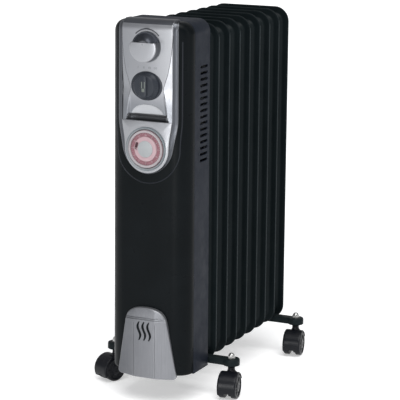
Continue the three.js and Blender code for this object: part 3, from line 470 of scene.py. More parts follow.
GLOSS = gloss_black("gloss_black", (0.0024, 0.0036, 0.0044), (0.0040, 0.0056, 0.0068), 0.30, 0.07)
CASTOR_BLACK = gloss_black("castor_black", (0.0026, 0.0033, 0.0056), (0.0040, 0.0049, 0.0078), 0.30, 0.21)
KNOB_BLACK = gloss_black("knob_black", (0.0200, 0.0235, 0.0310), (0.0260, 0.0300, 0.0380), 0.36, 0.20)
# A lighter copy of the shell's gloss black for the ridge: painted highlight.
RIDGE_HIGHLIGHT = gloss_black("ridge_highlight_black", (0.0090, 0.0110, 0.0150), (0.0120, 0.0145, 0.0185), 0.32, 0.14)
ENAMEL = enamel("leg_enamel").material
FIN_ENAMEL = fin_enamel()
SIDE = side_black()
PLATE = plate_lacquer()
HOLLOW = hollow_lacquer()
# A lighter copy of the silver for the scoop: painted highlight.
SCOOP_HIGHLIGHT_SILVER = silver_lacquer("highlight_silver_lacquer", (0.42, 0.43, 0.45), 0.36, (0.34, 0.35, 0.37)).material
SILVER = silver_lacquer("silver_lacquer", (0.31, 0.317, 0.335), 0.36, (0.235, 0.242, 0.262)).material
# A darker copy of the silver for the top roll and the border: painted shade.
SHADED_SILVER = silver_lacquer("shaded_silver_lacquer", (0.078, 0.083, 0.094), 0.34, (0.050, 0.055, 0.066)).material
SLATE = silver_lacquer("slate_lacquer", (0.034, 0.038, 0.048), 0.34, (0.022, 0.025, 0.033)).material
# A darker copy of the silver for the knob's side wall: painted shade.
KNOB_WALL_SHADE = silver_lacquer("knob_wall_shaded_lacquer", (0.13, 0.137, 0.150), 0.36, (0.09, 0.096, 0.108)).material
COVER = brushed_cover()
STEEL = steel("zinc_plate", (0.56, 0.57, 0.58), 0.32)
CHROME = steel("bright_plate", (0.50, 0.50, 0.49), 0.30)
BRASS = steel("brass", (0.66, 0.47, 0.22), 0.34)
GALVANISED = steel("galvanised_sheet", (0.42, 0.44, 0.45), 0.48, (6, 1, 1))
SHEATH = steel("element_sheath", (0.34, 0.31, 0.28), 0.42, (1, 30, 1))
WHITE = plastic("white_moulding", (0.38, 0.35, 0.365), 0.44)
PALE = plastic("pale_moulding", (0.29, 0.305, 0.315), 0.38)
SOFT_GREY = plastic("soft_grey_moulding", (0.235, 0.25, 0.265), 0.40)
GREY = plastic("grey_moulding", (0.13, 0.155, 0.17), 0.36)
PINK = plastic("dial_print", (0.22, 0.092, 0.112), 0.50, 0.7, 1.2)
BLUSH = plastic("dial_face", (0.38, 0.265, 0.285), 0.46)
RED = plastic("dark_red_moulding", (0.035, 0.006, 0.012), 0.36)
BROWN = plastic("brown_moulding", (0.060, 0.038, 0.026), 0.55)
INK = plastic("ink", (0.030, 0.032, 0.038), 0.45)
RECESS = plastic("recess_moulding", (0.024, 0.028, 0.038), 0.26)
MARK = plastic("pointer_mark", (0.115, 0.130, 0.118), 0.45)

CARRIED = {
    "heating_element_upper": SHEATH, "heating_element_lower": SHEATH, "element_flange": BRASS,
    "heat_shield": GALVANISED, "thermostat_body": BROWN, "thermostat_shaft": STEEL,
    "selector_switch_body": WHITE, "selector_shaft": STEEL, "timer_body": WHITE,
    "terminal_block": WHITE, "thermal_cutout": BROWN, "cord_gland": GLOSS,
}
for corner in ("fl", "fr", "rl", "rr"):
    CARRIED[f"castor_{corner}_axle"] = STEEL
for node, paint in CARRIED.items():
    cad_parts[node].data.materials.clear()
    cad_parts[node].data.materials.append(paint)


# ---------------------------------------------------------------- fins

FIN_COUNT = 8
RIM_RADIUS = 25
# How far the long channel's ends stay from the collars' axes.
CHANNEL_END = 50
FLIP = Matrix.Scale(-1, 4, (0, 0, 1))
# Half the fin's thickness at each distance in from its outline: hem, flat rim, bend, chamber.
FIN_SECTION = [
    (0, 0.05), (0.2, 0.6), (0.8, 1.05), (1.8, 1.15), (2.8, 1.0), (9.6, 1.0), (10.6, 1.2), (11.6, 2.0),
    (13.0, 3.8), (14.4, 5.6), (15.4, 6.5), (16.6, 6.95), (18.6, 7.0),
]
# The channel down the middle: its half width at each half thickness.
WEB_SECTION = [(9.2, 7.0), (8.4, 6.7), (7.6, 5.8), (6.2, 3.4), (5.4, 2.1), (4.6, 1.5), (3.4, 1.35)]
# The collar and the last fin's closed dimple, as (radius, distance from the fin's middle).
COLLAR_SECTION = [
    (28, 6.6), (26.5, 7.1), (25, 7.8), (23.9, 9.0), (23.2, 10.8), (23.0, 13), (23.0, 17.6), (23.7, 18.3),
    (23.7, 19.2), (22.6, 19.75), (18, 19.75), (18, 12),
]
DIMPLE_SECTION = [(26, 6.8), (24, 7.5), (22.4, 7.5), (21, 7.0), (19.4, 5.2), (17.6, 4.6), (0, 4.4)]


def fin_side(form, low, high, middle, side, hubs):
    """Chamber face on one side of a fin, from the shoulder in to the bottom of the web."""
    inset, depth = FIN_SECTION[-1]
    face = form.ring(
        (x, middle + side * depth, z)
        for x, z in rounded(high.x - inset, low.z + inset, high.z - inset, RIM_RADIUS - inset))
    foot, top = hubs[0] + CHANNEL_END, hubs[1] - CHANNEL_END
    web = form.loft([
        [(x, middle + side * d, z) for x, z in rounded(w, foot - w, top + w, w - 0.1)]
        for w, d in WEB_SECTION
    ], last_cap=True)
    form.bridge(face, web[0])


def make_fin(number, hubs):
    node = f"fin_{number}"
    low, high = span(node)
    middle = low.y + span("fin_2")[1].y / 2 - span("fin_2")[0].y / 2
    form = Form()
    form.loft([
        [(x, middle + d, z) for x, z in rounded(high.x - i, low.z + i, high.z - i, RIM_RADIUS - i)]
        for i, d in [(i, -d) for i, d in FIN_SECTION[::-1]] + FIN_SECTION
    ])
    for side in SIDES:
        fin_side(form, low, high, middle, side, hubs)
    for z in hubs:
        hub = facing(0, middle, z)
        form.turn(COLLAR_SECTION, hub, 48)
        form.turn(DIMPLE_SECTION if number == FIN_COUNT else COLLAR_SECTION, hub @ FLIP, 48)
    if number == 1:
        form.turn([(18, 19), (18, 17), (0, 16.6)], facing(0, middle, hubs[1]), 48)
    make(node + "_sheets", form, [FIN_ENAMEL], [node], crease=40)


HUBS = (centre_of("element_flange").z, centre_of("oil_filler_plug").z)


def make_fins():
    for number in range(1, FIN_COUNT + 1):
        make_fin(number, HUBS)
    form = Form()
    face = span("oil_filler_plug")[1].y - 3
    outward = facing(0, face, HUBS[1]) @ spun(180, "X")
    form.turn([(0, 0), (9.6, 0), (10, 0.3), (10, 2.3), (9.2, 3.0), (0, 3.0)], outward, 6)
    form.turn([(12.5, -0.4), (12.5, 0.5), (11.9, 0.8), (0, 0.8)], outward, 40)
    form.turn([(4.6, 2.9), (4.3, 2.99), (0, 2.99)], outward, 24)
    make("filler_plug", form, [STEEL], ["oil_filler_plug"], crease=25)


# ---------------------------------------------------------------- housing

PANEL_LOW, PANEL_HIGH = span("front_panel")
SIDE_LOW, SIDE_HIGH = span("side_frame")
BOTTOM, TOP = PANEL_LOW.z, PANEL_HIGH.z
HALF = PANEL_HIGH.x
JOIN_Y = PANEL_HIGH.y
FRONT_Y = PANEL_LOW.y - 0.1
SHOULDER_X = 45
BOW = 2
TAPER = 0.022
CORNER = 20
ROLL = 12
FOOT = 5
WALL = 2.5
EDGE_Z = 455
WINDOW_HALF = 40.5
WINDOW_TOP_Z = 525


def plan_profile():
    """Half of the housing's front in plan, from the mid-plane round to the side joint."""
    shoulder = FRONT_Y + BOW
    crown = [Vector((SHOULDER_X * i / 10, FRONT_Y + BOW * (i / 10) ** 2)) for i in range(10)]
    return crown + bezier(
        ((SHOULDER_X, shoulder), (SHOULDER_X + 13, shoulder + 3), (HALF, JOIN_Y - 14), (HALF, JOIN_Y)), 16)


PROFILE = plan_profile()
DEPTH = JOIN_Y - FRONT_Y


def crown_y(x):
    """Depth of the front skin at a distance from the mid-plane."""
    x = min(abs(x), HALF - 0.01)
    for a, b in zip(PROFILE, PROFILE[1:]):
        if x <= b.x:
            return blend(a.y, b.y, (x - a.x) / (b.x - a.x))
    return JOIN_Y


def narrowed(x, z):
    """The housing draws in a little towards its top."""
    return x * (1 - TAPER * min(max((z - BOTTOM) / (TOP - BOTTOM), 0), 1))


def rounding(radius, beyond):
    """How far a rounded edge has turned in, at a distance past where it starts."""
    return radius - sqrt(radius ** 2 - max(beyond, 0) ** 2)


def panel_level(z):
    """The front skin's outline at one height, its top corners and top edge rounded."""
    side_in = rounding(CORNER, z - (TOP - CORNER))
    back = rounding(ROLL, z - (TOP - ROLL))
    foot = rounding(FOOT, BOTTOM + FOOT - z)
    flat = HALF - CORNER
    half = []
    for x, y in PROFILE:
        if x > flat:
            x = flat + (x - flat) * (CORNER - max(side_in, foot)) / CORNER
        y = JOIN_Y + (y - JOIN_Y) * (DEPTH - back - foot) / DEPTH
        half.append((narrowed(x, z), y, z))
    return [(-x, y, z) for x, y, z in half[:0:-1]] + half


def make_front_panel():
    arc = [sin(radians(a)) for a in range(0, 91, 6)]
    levels = [BOTTOM + FOOT * (1 - s) for s in arc[::-3]]
    levels += [BOTTOM + 110 * i for i in range(1, 5)]
    levels += [TOP - CORNER + CORNER * s for s in arc]
    form = Form()
    form.loft([panel_level(z) for z in levels], closed=False, first_cap=True, last_cap=True)
    shell = make("front_shell", form, [GLOSS], ["front_panel"], crease=50)
    wall = shell.modifiers.new("wall", "SOLIDIFY")
    wall.thickness = WALL * MM
    wall.offset = -1
    settle(shell)
    window = Form()
    window.block((-WINDOW_HALF, FRONT_Y - 5, EDGE_Z - 1), (WINDOW_HALF, FRONT_Y + 12, WINDOW_TOP_Z), 0.5)
    cut(shell, window, 50)


VENT_COUNT = 16
VENT_PITCH = 9.8
VENT_TOP_Z = 537
VENT_HALF = 1.75
VENT_FRONT_Y = -141
VENT_REAR_Y = -115
# How much wider the slot is at each distance from the mid-plane: its mouths flare.
VENT_FLARE = ((-80, 3), (-68.9, 0.5), (-67.4, 0), (67.4, 0), (68.9, 0.5), (80, 3))
GLAND_HOLE = 7


def vent_cutter(form, z):
    """A slot right through both side walls, with flared mouths."""
    middle = (VENT_FRONT_Y + VENT_REAR_Y) / 2
    half = (VENT_REAR_Y - VENT_FRONT_Y) / 2
    loops = []
    for x, grow in VENT_FLARE:
        tall = VENT_HALF + grow
        outline = rounded(half + grow, z - tall, z + tall, tall - 0.05, 5)
        loops.append([(narrowed(x, z), middle + along, height) for along, height in outline])
    form.loft(loops, first_cap=True, last_cap=True)


def frame_loop(inset, y):
    """The side frame's outline, square at the foot and round at the top."""
    outline = rounded(HALF - inset, BOTTOM + inset - 30, TOP - inset, CORNER - inset, 12)
    levels = [(x, max(z, BOTTOM + inset)) for x, z in outline]
    return [(narrowed(x, z), y, z) for x, z in levels]


def make_side_frame():
    front, rear = SIDE_LOW.y, SIDE_HIGH.y
    section = [
        (WALL, front), (0.5, front), (0, front + 0.5), (0, rear - 1.2), (0.35, rear - 0.35), (1.2, rear),
        (WALL, rear),
    ]
    form = Form()
    rings = form.loft([frame_loop(inset, y) for inset, y in section])
    form.bridge(rings[-1], rings[0])
    piece = make("side_shell", form, [SIDE], ["side_frame"], crease=40)
    holes = Form()
    for i in range(VENT_COUNT):
        vent_cutter(holes, VENT_TOP_Z - i * VENT_PITCH)
    gland = centre_of("cord_gland")
    under_gland = moved(gland.x, gland.y, BOTTOM)
    holes.turn([(0, -8), (GLAND_HOLE, -8), (GLAND_HOLE, 8), (0, 8)], under_gland, 32)
    cut(piece, holes)


# ---------------------------------------------------------------- control fascia

TOP_FLAT = DEPTH - ROLL
TOP_ARC = ROLL * pi / 2


def path_of(z):
    """Distance along the skin from the top joint, over the edge and down to a height on the front."""
    return TOP_FLAT + TOP_ARC + (TOP - ROLL - z)


def height_at(path):
    """The height on the front at a distance along the skin."""
    return TOP - ROLL - (path - TOP_FLAT - TOP_ARC)


def skin_point(x, path):
    """A point on the housing's front or top skin."""
    if path < TOP_FLAT:
        back, z = path, TOP
    elif path < TOP_FLAT + TOP_ARC:
        angle = (path - TOP_FLAT) / ROLL
        back, z = TOP_FLAT + ROLL * sin(angle), TOP - ROLL + ROLL * cos(angle)
    else:
        back, z = DEPTH, height_at(path)
    y = JOIN_Y + (crown_y(x) - JOIN_Y) * back / DEPTH
    over = min(max(abs(x) - (HALF - CORNER), 0), CORNER)
    z = min(z, TOP - CORNER + sqrt(CORNER ** 2 - over ** 2))
    return Vector((narrowed(x, z), y, z))


def lifted(x, path, lift):
    """A point that stands lift off the skin."""
    step = 0.5
    across = skin_point(x + step, path) - skin_point(x - step, path)
    along = skin_point(x, path + step) - skin_point(x, max(path - step, 0))
    return skin_point(x, path) + lift * along.cross(across).normalized()


TIMER_Z, THERMOSTAT_Z, SELECTOR_Z = (
    centre_of(node).z for node in ("timer_bezel", "thermostat_knob", "selector_knob"))
PLATE_HALF = 44
PLATE_LIFT = 3.0
PLATE_RADIUS = 38.5
SHOULDER_Z = 461
CREST_PATH = TOP_FLAT + 11.5
SCOOP_TOP_Z = 481
SCOOP_END_Z = 463
SCOOP_HALF = 28
BAND_TOP_Z = 465
BAND_HALF = 37
BAND_LEAN = 0.36
BAND_DEPTH = 4.5
WING_SLOPE = 0.17
FALL_Z = 498
FALL_SLOPE = 0.13
BORDER_WIDTH = 10
# Half width of the plate's middle field at each height, drawn in beside the selector.
FIELD = [
    (452, 36.5), (459, 35.5), (480, 33), (495, 31), (501, 29.4), (505.5, 28.6), (510, 29.6), (515, 31.2),
    (529, 36), (543, 39), (555, 41), (571, 43), (585, 44.2),
]


def waist(z):
    """Half the width of the plate's middle field at a height."""
    if z <= FIELD[0][0]:
        return FIELD[0][1]
    for (low, a), (high, b) in zip(FIELD, FIELD[1:]):
        if z <= high:
            return blend(a, b, (z - low) / (high - low))
    return PLATE_HALF + 0.5


def scoop_arc(x):
    """Height of the scoop's upper edge."""
    share = min(abs(x) / SCOOP_HALF, 1)
    return SCOOP_END_Z + (SCOOP_TOP_Z - SCOOP_END_Z) * sqrt(max(1 - share ** 2.1, 0))


def band(x, z):
    """1 inside the recess above the timer plate, which takes the hollow's painted shade, 0 outside it."""
    half = BAND_HALF - BAND_LEAN * max(z - EDGE_Z, 0)
    return ease(BAND_TOP_Z + 1, BAND_TOP_Z - 5, z) * ease(half + 0.8, half - 1.2, abs(x))


def plate_lift(x, z):
    """How far the plate stands off the skin: wings fall away outside the waist, and the scoop dips."""
    lift = PLATE_LIFT
    if z < 595:
        lift -= WING_SLOPE * max(abs(x) - waist(z), 0)
    if z < FALL_Z:
        lift -= FALL_SLOPE * (FALL_Z - z) * ease(waist(z) + 0.5, waist(z) - 3.5, abs(x))
    if abs(x) < SCOOP_HALF and z < SCOOP_TOP_Z + 2:
        below = scoop_arc(x) - z
        lift -= 0.9 * ease(-0.4, 1.0, below) + 0.12 * max(below, 0)
    return lift - BAND_DEPTH * band(x, z)


def make_plate():
    """The fascia's upper plate, from the top joint over the edge and down under the timer plate's edge."""
    start, fine, stop = 2.0, path_of(SCOOP_TOP_Z + 3), path_of(EDGE_Z - 3)
    rows = [blend(start, fine, i / 74) for i in range(74)] + [blend(fine, stop, i / 40) for i in range(41)]
    columns = 84
    form = Form()
    lines = []
    for row, path in enumerate(rows):
        z = height_at(path) if path > TOP_FLAT + TOP_ARC else TOP
        drop = PLATE_LIFT if row == 0 else 0
        edge = plate_lift(PLATE_HALF, z) - 0.7 - drop * 0.5
        line = [lifted(-PLATE_HALF - 0.6, path, 0.3), lifted(-PLATE_HALF, path, edge)]
        for i in range(columns + 1):
            x = blend(-PLATE_HALF + 0.6, PLATE_HALF - 0.6, i / columns)
            line.append(lifted(x, path, plate_lift(x, z) - drop))
        lines.append(line + [lifted(PLATE_HALF, path, edge), lifted(PLATE_HALF + 0.6, path, 0.3)])
    form.loft(lines, closed=False)
    across = len(lines[0]) - 1
    for index, face in enumerate(form.faces):
        middle = sum((form.points[c] for c in face), Vector()) / 4
        # Rows over the top and its roll take the darker copy of the silver, as painted shade.
        if rows[index // across] < CREST_PATH:
            form.slots[index] = 1
        # Faces in the recess take the hollow's lacquer, with its painted shade.
        elif band(middle.x, middle.z) > 0.3:
            form.slots[index] = 2
        # Faces inside the scoop's arc take the lighter copy of the silver, a painted highlight.
        elif abs(middle.x) < SCOOP_HALF and middle.z < scoop_arc(middle.x):
            form.slots[index] = 3
    make("fascia_plate", form, [PLATE, SHADED_SILVER, HOLLOW, SCOOP_HIGHLIGHT_SILVER], ["control_fascia"],
         crease=50)


def u_side(half, radius, steps=22):
    """Left half of the U outline in x and z, from its shoulder down to its lowest point."""
    neck = bezier(
        ((-half, SHOULDER_Z), (-half, SHOULDER_Z - 20), (-radius, TIMER_Z + 22), (-radius, TIMER_Z)), 10)
    angles = [radians(180 + 90 * i / steps) for i in range(1, steps + 1)]
    return neck + [Vector((radius * cos(a), TIMER_Z + radius * sin(a))) for a in angles]


def u_outline(half, radius, top_path, straight=30):
    """The whole open U in x and path, from the upper left round the bottom to the upper right."""
    shoulder = path_of(SHOULDER_Z)
    down = [(-half, blend(top_path, shoulder, i / straight)) for i in range(straight)]
    left = down + [(x, path_of(z)) for x, z in u_side(half, radius)]
    return left + [(-x, path) for x, path in left[-2::-1]]


def make_border():
    """The border beside the plate, in a darker copy of the silver as painted shade, which thins out round the
    bottom.
    """
    section = [(0, 2.0), (0.8, 1.7), (3.4, 0.75), (4.2, 0.75), (7.2, 0.95), (7.9, 0.7), (8.3, -0.3)]
    start = TOP_FLAT - 2
    inner = u_outline(PLATE_HALF, PLATE_RADIUS, start)
    outer = u_outline(PLATE_HALF + BORDER_WIDTH, PLATE_RADIUS + BORDER_WIDTH, start)
    form = Form()
    lines = []
    for reach, lift in section:
        line = []
        for (x, path), (far_x, far_path) in zip(inner, outer):
            fade = 1 - 0.80 * ease(path_of(435), path_of(380), path)
            grow = ease(start - 4, start + 20, path)
            share = reach * fade * (0.5 + 0.5 * grow) / BORDER_WIDTH
            height = blend(-0.5, lift, ease(start, start + 12, path)) if reach < 8 else -0.5
            line.append(lifted(blend(x, far_x, share), blend(path, far_path, share), height))
        lines.append(line)
    form.loft(lines, closed=False)
    make("fascia_border", form, [SHADED_SILVER], crease=24)


def make_timer_plate():
    """The raised plate round the timer, with a straight upper edge and a round hole."""
    plate_y = FRONT_Y - 4.5

    def outline(inset, y):
        left = [p for p in u_side(PLATE_HALF - 0.4 - inset, PLATE_RADIUS - 0.2 - inset) if p.y < EDGE_Z - 2]
        top = EDGE_Z - inset
        edge_x = PLATE_HALF - 0.8 - inset
        corner = [Vector((-edge_x * (1 - i / 12), top)) for i in range(12)]
        left = corner[::-1] + [Vector((-edge_x - 0.2, top - 1))] + left
        loop = left + [Vector((-p.x, p.y)) for p in left[-2:0:-1]]
        return [(narrowed(p.x, p.y), y + BOW * (p.x / SHOULDER_X) ** 2, p.y) for p in loop]

    def hole(radius, y):
        angles = [atan2(z - TIMER_Z, x) for x, _, z in outline(1.2, plate_y)]
        return [(radius * cos(a), y, TIMER_Z + radius * sin(a)) for a in angles]

    rim = ((0, 4.5), (0, 0.7), (0.3, 0.2), (1.0, 0))
    mouth = ((34.6, 0.25), (31.6, 0.3), (31.2, 0.7), (31.2, 4))
    form = Form()
    form.loft([outline(inset, plate_y + back) for inset, back in rim]
              + [hole(radius, plate_y + back) for radius, back in mouth])
    make("timer_plate", form, [SILVER], crease=30)


def strip(form, middle, width, heights, surface):
    """A bead along a line of (x, path): heights are its lifts from one side to the other."""
    last = len(middle) - 1
    lines = []
    for k, lift in enumerate(heights):
        off = (k / (len(heights) - 1) - 0.5) * width
        line = []
        for i, (x, path) in enumerate(middle):
            before, after = middle[max(i - 1, 0)], middle[min(i + 1, last)]
            run = Vector((after[0] - before[0], after[1] - before[1])).normalized()
            line.append(surface(x + run.y * off, path - run.x * off, lift))
        lines.append(line)
    form.loft(lines, closed=False)


SCALE_RADIUS = 27.2
SETTING_X = (-15, -5, 5, 15)
SETTING_Z = (540, 536.6)


def make_lines():
    """Fine dark lines on the fascia: painted shade for the grooves beside the waist, the printed scale over
    the thermostat, and the ridge on the black shell.
    """
    def on_plate(x, path, lift):
        return lifted(x, path, plate_lift(x, height_at(path)) + lift)

    form = Form()
    # Dark strips along the waist on each side: painted shade for a fine groove, wider on the right.
    for side in SIDES:
        line = [(side * waist(z), path_of(z)) for z in (589 - i * 2 for i in range(50))]
        strip(form, line, 1.4 if side > 0 else 0.9, (-0.1, 0.06, 0.06, -0.1), on_plate)
    angles = [radians(136 - 96 * i / 30) for i in range(31)]
    scale = [(SCALE_RADIUS * cos(a), path_of(THERMOSTAT_Z + SCALE_RADIUS * sin(a))) for a in angles]
    strip(form, scale, 3.0, (-0.1, 0.08, 0.08, -0.1), on_plate)
    for step, centre in enumerate(SETTING_X):
        for mark in range(step + 1):
            x = centre + (mark - step / 2) * 1.6
            strip(form, [(x, path_of(z)) for z in SETTING_Z], 0.6, (-0.1, 0.05, 0.05, -0.1), on_plate)
    make("fascia_lines", form, [INK], crease=30)

    # The ridge on the black shell, in a lighter black as a painted highlight.
    ridge = Form()
    strip(ridge, u_outline(57.5, 54.5, path_of(580)), 2.6, (-0.5, 0.15, 0.55, 0.6, 0.55, 0.15, -0.5), lifted)
    make("shell_ridge", ridge, [RIDGE_HIGHLIGHT], crease=60)


# ---------------------------------------------------------------- knobs

CHORD = 7.3
RECESS_FLOOR = 5.2
FLUTES = 36


def collar_ring(sections, middle_z, count, floor=-inf):
    """A ring that follows the plate round a knob: sections are (half width, half height, lift)."""
    def point(x, z, lift):
        return lifted(x, path_of(z), max(plate_lift(x, z), floor) + lift)

    form = Form()
    form.loft([
        [point(half_x * c, middle_z + half_z * s, lift) for c, s in circle(count)]
        for half_x, half_z, lift in sections
    ])
    return form


def make_thermostat_knob():
    radius, depth, place = control("thermostat_knob", THERMOSTAT_Z)
    form = Form()
    form.turn([
        (0, 0), (radius - 0.6, 0), (radius, 0.5), (radius, 2.0), (radius - 0.3, 2.6),
        (radius - 0.7, depth - 2.0), (radius - 1.2, depth - 1.4), (radius - 2.2, depth - 0.9),
        (radius - 4, depth - 0.65), (radius - 9, depth - 0.25), (radius - 15, depth - 0.05), (0, depth),
    ], place, 96)
    piece = make("thermostat_dial", form, [SILVER, RECESS, KNOB_WALL_SHADE], ["thermostat_knob"],
                 "thermostat", crease=28)
    hollow = Form()
    hollow.block((-40, CHORD, RECESS_FLOOR), (40, 60, depth + 4), 0.2, place)
    cut(piece, hollow, 28)
    # Faces above the chord take the recess moulding; the side wall takes the darker copy of the silver, as
    # painted shade.
    for polygon in piece.data.polygons:
        if polygon.center.z / MM > THERMOSTAT_Z + CHORD + 0.3:
            polygon.material_index = 1
        elif abs(polygon.normal.y) < 0.5:
            polygon.material_index = 2
    form = Form()
    form.block((-0.45, 3.4, depth - 0.2), (0.45, CHORD - 0.6, depth), 0.1, place)
    make("thermostat_pointer", form, [INK], body="thermostat")
    # A dark ring round the knob's base: painted shadow in the gap between knob and plate.
    seat = collar_ring([(radius + reach, radius + reach, lift) for reach, lift in
                        ((-1, -0.2), (-1, 0.25), (0.9, 0.25), (1.1, -0.2))], THERMOSTAT_Z, 96)
    make("thermostat_shadow_ring", seat, [KNOB_WALL_SHADE], crease=40)
    cone = Form()
    cone.turn([
        (radius - 1.6, 5.0), (radius - 4, 6.0), (15.0, 8.0), (11.6, 10.4), (10.4, depth - 1.4),
        (0, depth - 1.2),
    ], place, 64)
    make("thermostat_core", cone, [SLATE], body="thermostat", crease=40)


def make_selector_knob():
    radius, depth, place = control("selector_knob", SELECTOR_Z)
    form = Form()
    form.turn([
        (0, 0), (radius - 0.5, 0), (radius, 0.5), (radius, 2.4), (radius - 0.6, 3.4), (radius - 2.2, 4.6),
        (radius - 3.4, 6.2), (radius - 4.2, 8.4), (radius - 5.4, 9.6), (radius - 7.6, 9.9), (0, 9.2),
    ], place, 96)
    grip = ((6, 6.4, 18.2), (3.2, 6.2, 17.8), (1.4, 5.8, 17.2), (0.7, 5.4, 16.6), (0.4, 4.8, 15.8))
    form.loft([
        [place @ Vector((x, z, depth - down)) for x, z in rounded(half_x, -half_z, half_z, half_x - 0.1, 6)]
        for down, half_x, half_z in grip
    ], last_cap=True)
    for i in range(FLUTES):
        turn = place @ spun(360 * i / FLUTES)
        form.block((radius - 3.5, -0.55, 2.6), (radius - 2.0, 0.55, 5.4), 0.2, turn)
    make("selector_grip", form, [KNOB_BLACK], ["selector_knob"], "selector", crease=34)
    flange = ((27.3, 22.7, -0.5), (27.2, 22.6, 0.45), (26.6, 22.0, 0.75), (23.5, 20.5, 0.7), (20, 18, 0.3))
    seat = collar_ring(flange, SELECTOR_Z, 72, 2.4)
    make("selector_seat", seat, [KNOB_BLACK], crease=40)
    mark = Form()
    for low, high in (((-2.3, -2), (-0.5, 8)), ((2.5, -2), (4.3, 8)), ((-1.4, -7.5), (3.4, -2.4))):
        mark.block((*low, depth - 1), (*high, depth), 0.3, place)
    make("selector_pointer", mark, [MARK], body="selector")


# ---------------------------------------------------------------- timer

TAPPETS = 96
QUARTER_MARKS = 48
PRINT_IN, PRINT_OUT = 19.8, 25.6
NUMBER_RADIUS = 21.3
NUMBER_SIZE = 3.2
HUB_TOP = 13.0
LEVER_TILT = 15
SLOT_X, SLOT_RISE = -15.07, 4.04


def make_timer():
    outer, depth, place = control("timer_bezel", TIMER_Z)
    bezel = Form()
    bezel.turn([
        (outer, -0.3), (outer, depth - 0.7), (outer - 0.35, depth - 0.15), (outer - 0.9, depth),
        (outer - 1.3, depth - 0.4),
    ], place, 120)
    bezel.turn([(outer - 1.3, depth - 0.4), (outer - 2.8, 0.9), (outer - 3.5, 0.4), (outer - 3.6, -0.4)],
               place, 120, slot=1)
    make("timer_ring", bezel, [GREY, SOFT_GREY], ["timer_bezel"], crease=30)

    radius, depth, place = control("timer_dial", TIMER_Z)
    face, print_face = depth - 0.2, depth - 0.05
    dial = Form()
    dial.turn([(3.9, 0), (radius - 0.3, 0), (radius, 0.3), (radius, face), (PRINT_OUT, face)], place, 120)
    dial.turn([(PRINT_OUT, face), (PRINT_OUT - 0.3, print_face), (PRINT_IN, print_face)], place, 120, slot=1)
    dial.turn([(PRINT_IN, print_face), (PRINT_IN - 0.4, face), (3.9, face), (3.9, 0)], place, 120)
    make("timer_scale", dial, [BLUSH, PINK], ["timer_dial"], "timer_wheel")
    marks = Form()
    for i in range(QUARTER_MARKS):
        turn = place @ spun(360 * i / QUARTER_MARKS)
        marks.block((23.4 if i % 2 else 22.4, -0.16, depth - 0.3), (25.2, 0.16, depth), 0.05, turn)
    make("timer_marks", marks, [WHITE], body="timer_wheel")
    for hour in range(2, 25, 2):
        number(hour, place, depth)

    _, depth, place = control("timer_tappet_ring", TIMER_Z)
    ring = Form()
    ring.turn([(25.9, 0), (28.6, 0), (28.6, depth - 0.9), (26.2, depth - 0.7), (25.9, 0)], place, 96)
    for i in range(TAPPETS):
        turn = place @ spun(360 * (i + 0.5) / TAPPETS)
        ring.block((25.9, -0.66, 0), (29.2, 0.66, depth), 0.15, turn)
    make("timer_tappets", ring, [WHITE], ["timer_tappet_ring"], "timer_wheel")

    radius, depth, place = control("timer_hub", TIMER_Z)
    hub = Form()
    hub.turn([
        (0, 0), (radius, 0), (radius, 0.7), (radius - 0.6, 1.2), (radius - 1.6, 1.35), (HUB_TOP, 1.45),
    ], place, 96, slot=1)
    hub.turn([(HUB_TOP, 1.45), (12.8, 1.7), (12.6, depth - 0.2), (12.1, depth), (0, depth)], place, 96)
    piece = make("timer_centre", hub, [PALE, BLUSH], ["timer_hub"], crease=30)
    low, high = span("timer_override")
    lever = (low + high) / 2
    tilt = spun(LEVER_TILT, "Y")
    floor = Vector((SLOT_X, span("timer_hub")[0].y + 0.2, TIMER_Z + SLOT_RISE))
    slot = Form()
    slot.block((-1.95, -1.5, -5.8), (1.95, 6, 5.8), 0.3, moved(*floor) @ tilt)
    cut(piece, slot, 30)
    knob = Form()
    knob.block((-1.6, low.y - lever.y, -3.9), (1.6, high.y - lever.y, 3.9), 0.35, moved(*lever) @ tilt)
    make("timer_slider", knob, [RED], ["timer_override"], "timer_lever")


def number(value, place, depth):
    """A small printed hour on the timer's scale."""
    text = bpy.data.curves.new(f"hour_{value}", "FONT")
    text.body = str(value)
    text.size = NUMBER_SIZE * MM
    text.align_x = text.align_y = "CENTER"
    text.resolution_u = 2
    plain = add("plain", text)
    bpy.context.view_layer.update()
    mesh = bpy.data.meshes.new_from_object(plain.evaluated_get(bpy.context.evaluated_depsgraph_get()))
    bpy.data.objects.remove(plain)
    where = place @ spun(-360 * value / 24) @ moved(0, NUMBER_RADIUS, depth + 0.03)
    for vertex in mesh.vertices:
        vertex.co = (where @ (vertex.co / MM)) * MM + MIDDLE
    mesh.materials.clear()
    mesh.materials.append(WHITE)
    piece = add(f"timer_hour_{value}", mesh)
    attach(piece, "timer_wheel")


# ---------------------------------------------------------------- lower cover

COVER_LOW, COVER_HIGH = span("lower_cover")
COVER_FACE_Y = COVER_LOW.y + 0.8
CREASE_X = 18.4
FACET_SLOPE = 0.322
COVER_HALF = 51
COVER_TOP_HALF = 36.5
COVER_CORNER = 3.5
KNEE_DROP = 23
CAP_Z = 138.5
# The cover's rounded edge: how far out and how far back each step goes.
COVER_EDGE = ((0.9, 0.35), (1.7, 1.0), (2.2, 1.9), (2.4, 3.0), (2.4, 6.0))
WAVE_X = (-8.6, 0, 8.6)
WAVE_SECTION = ((-2.1, -0.3), (-2.05, 0.45), (-1.7, 0.7), (1.7, 0.7), (2.05, 0.45), (2.1, -0.3))
WAVE_FOOT_Z = 106
WAVE_HEIGHT = 30
WAVE_SWAY = 2.4


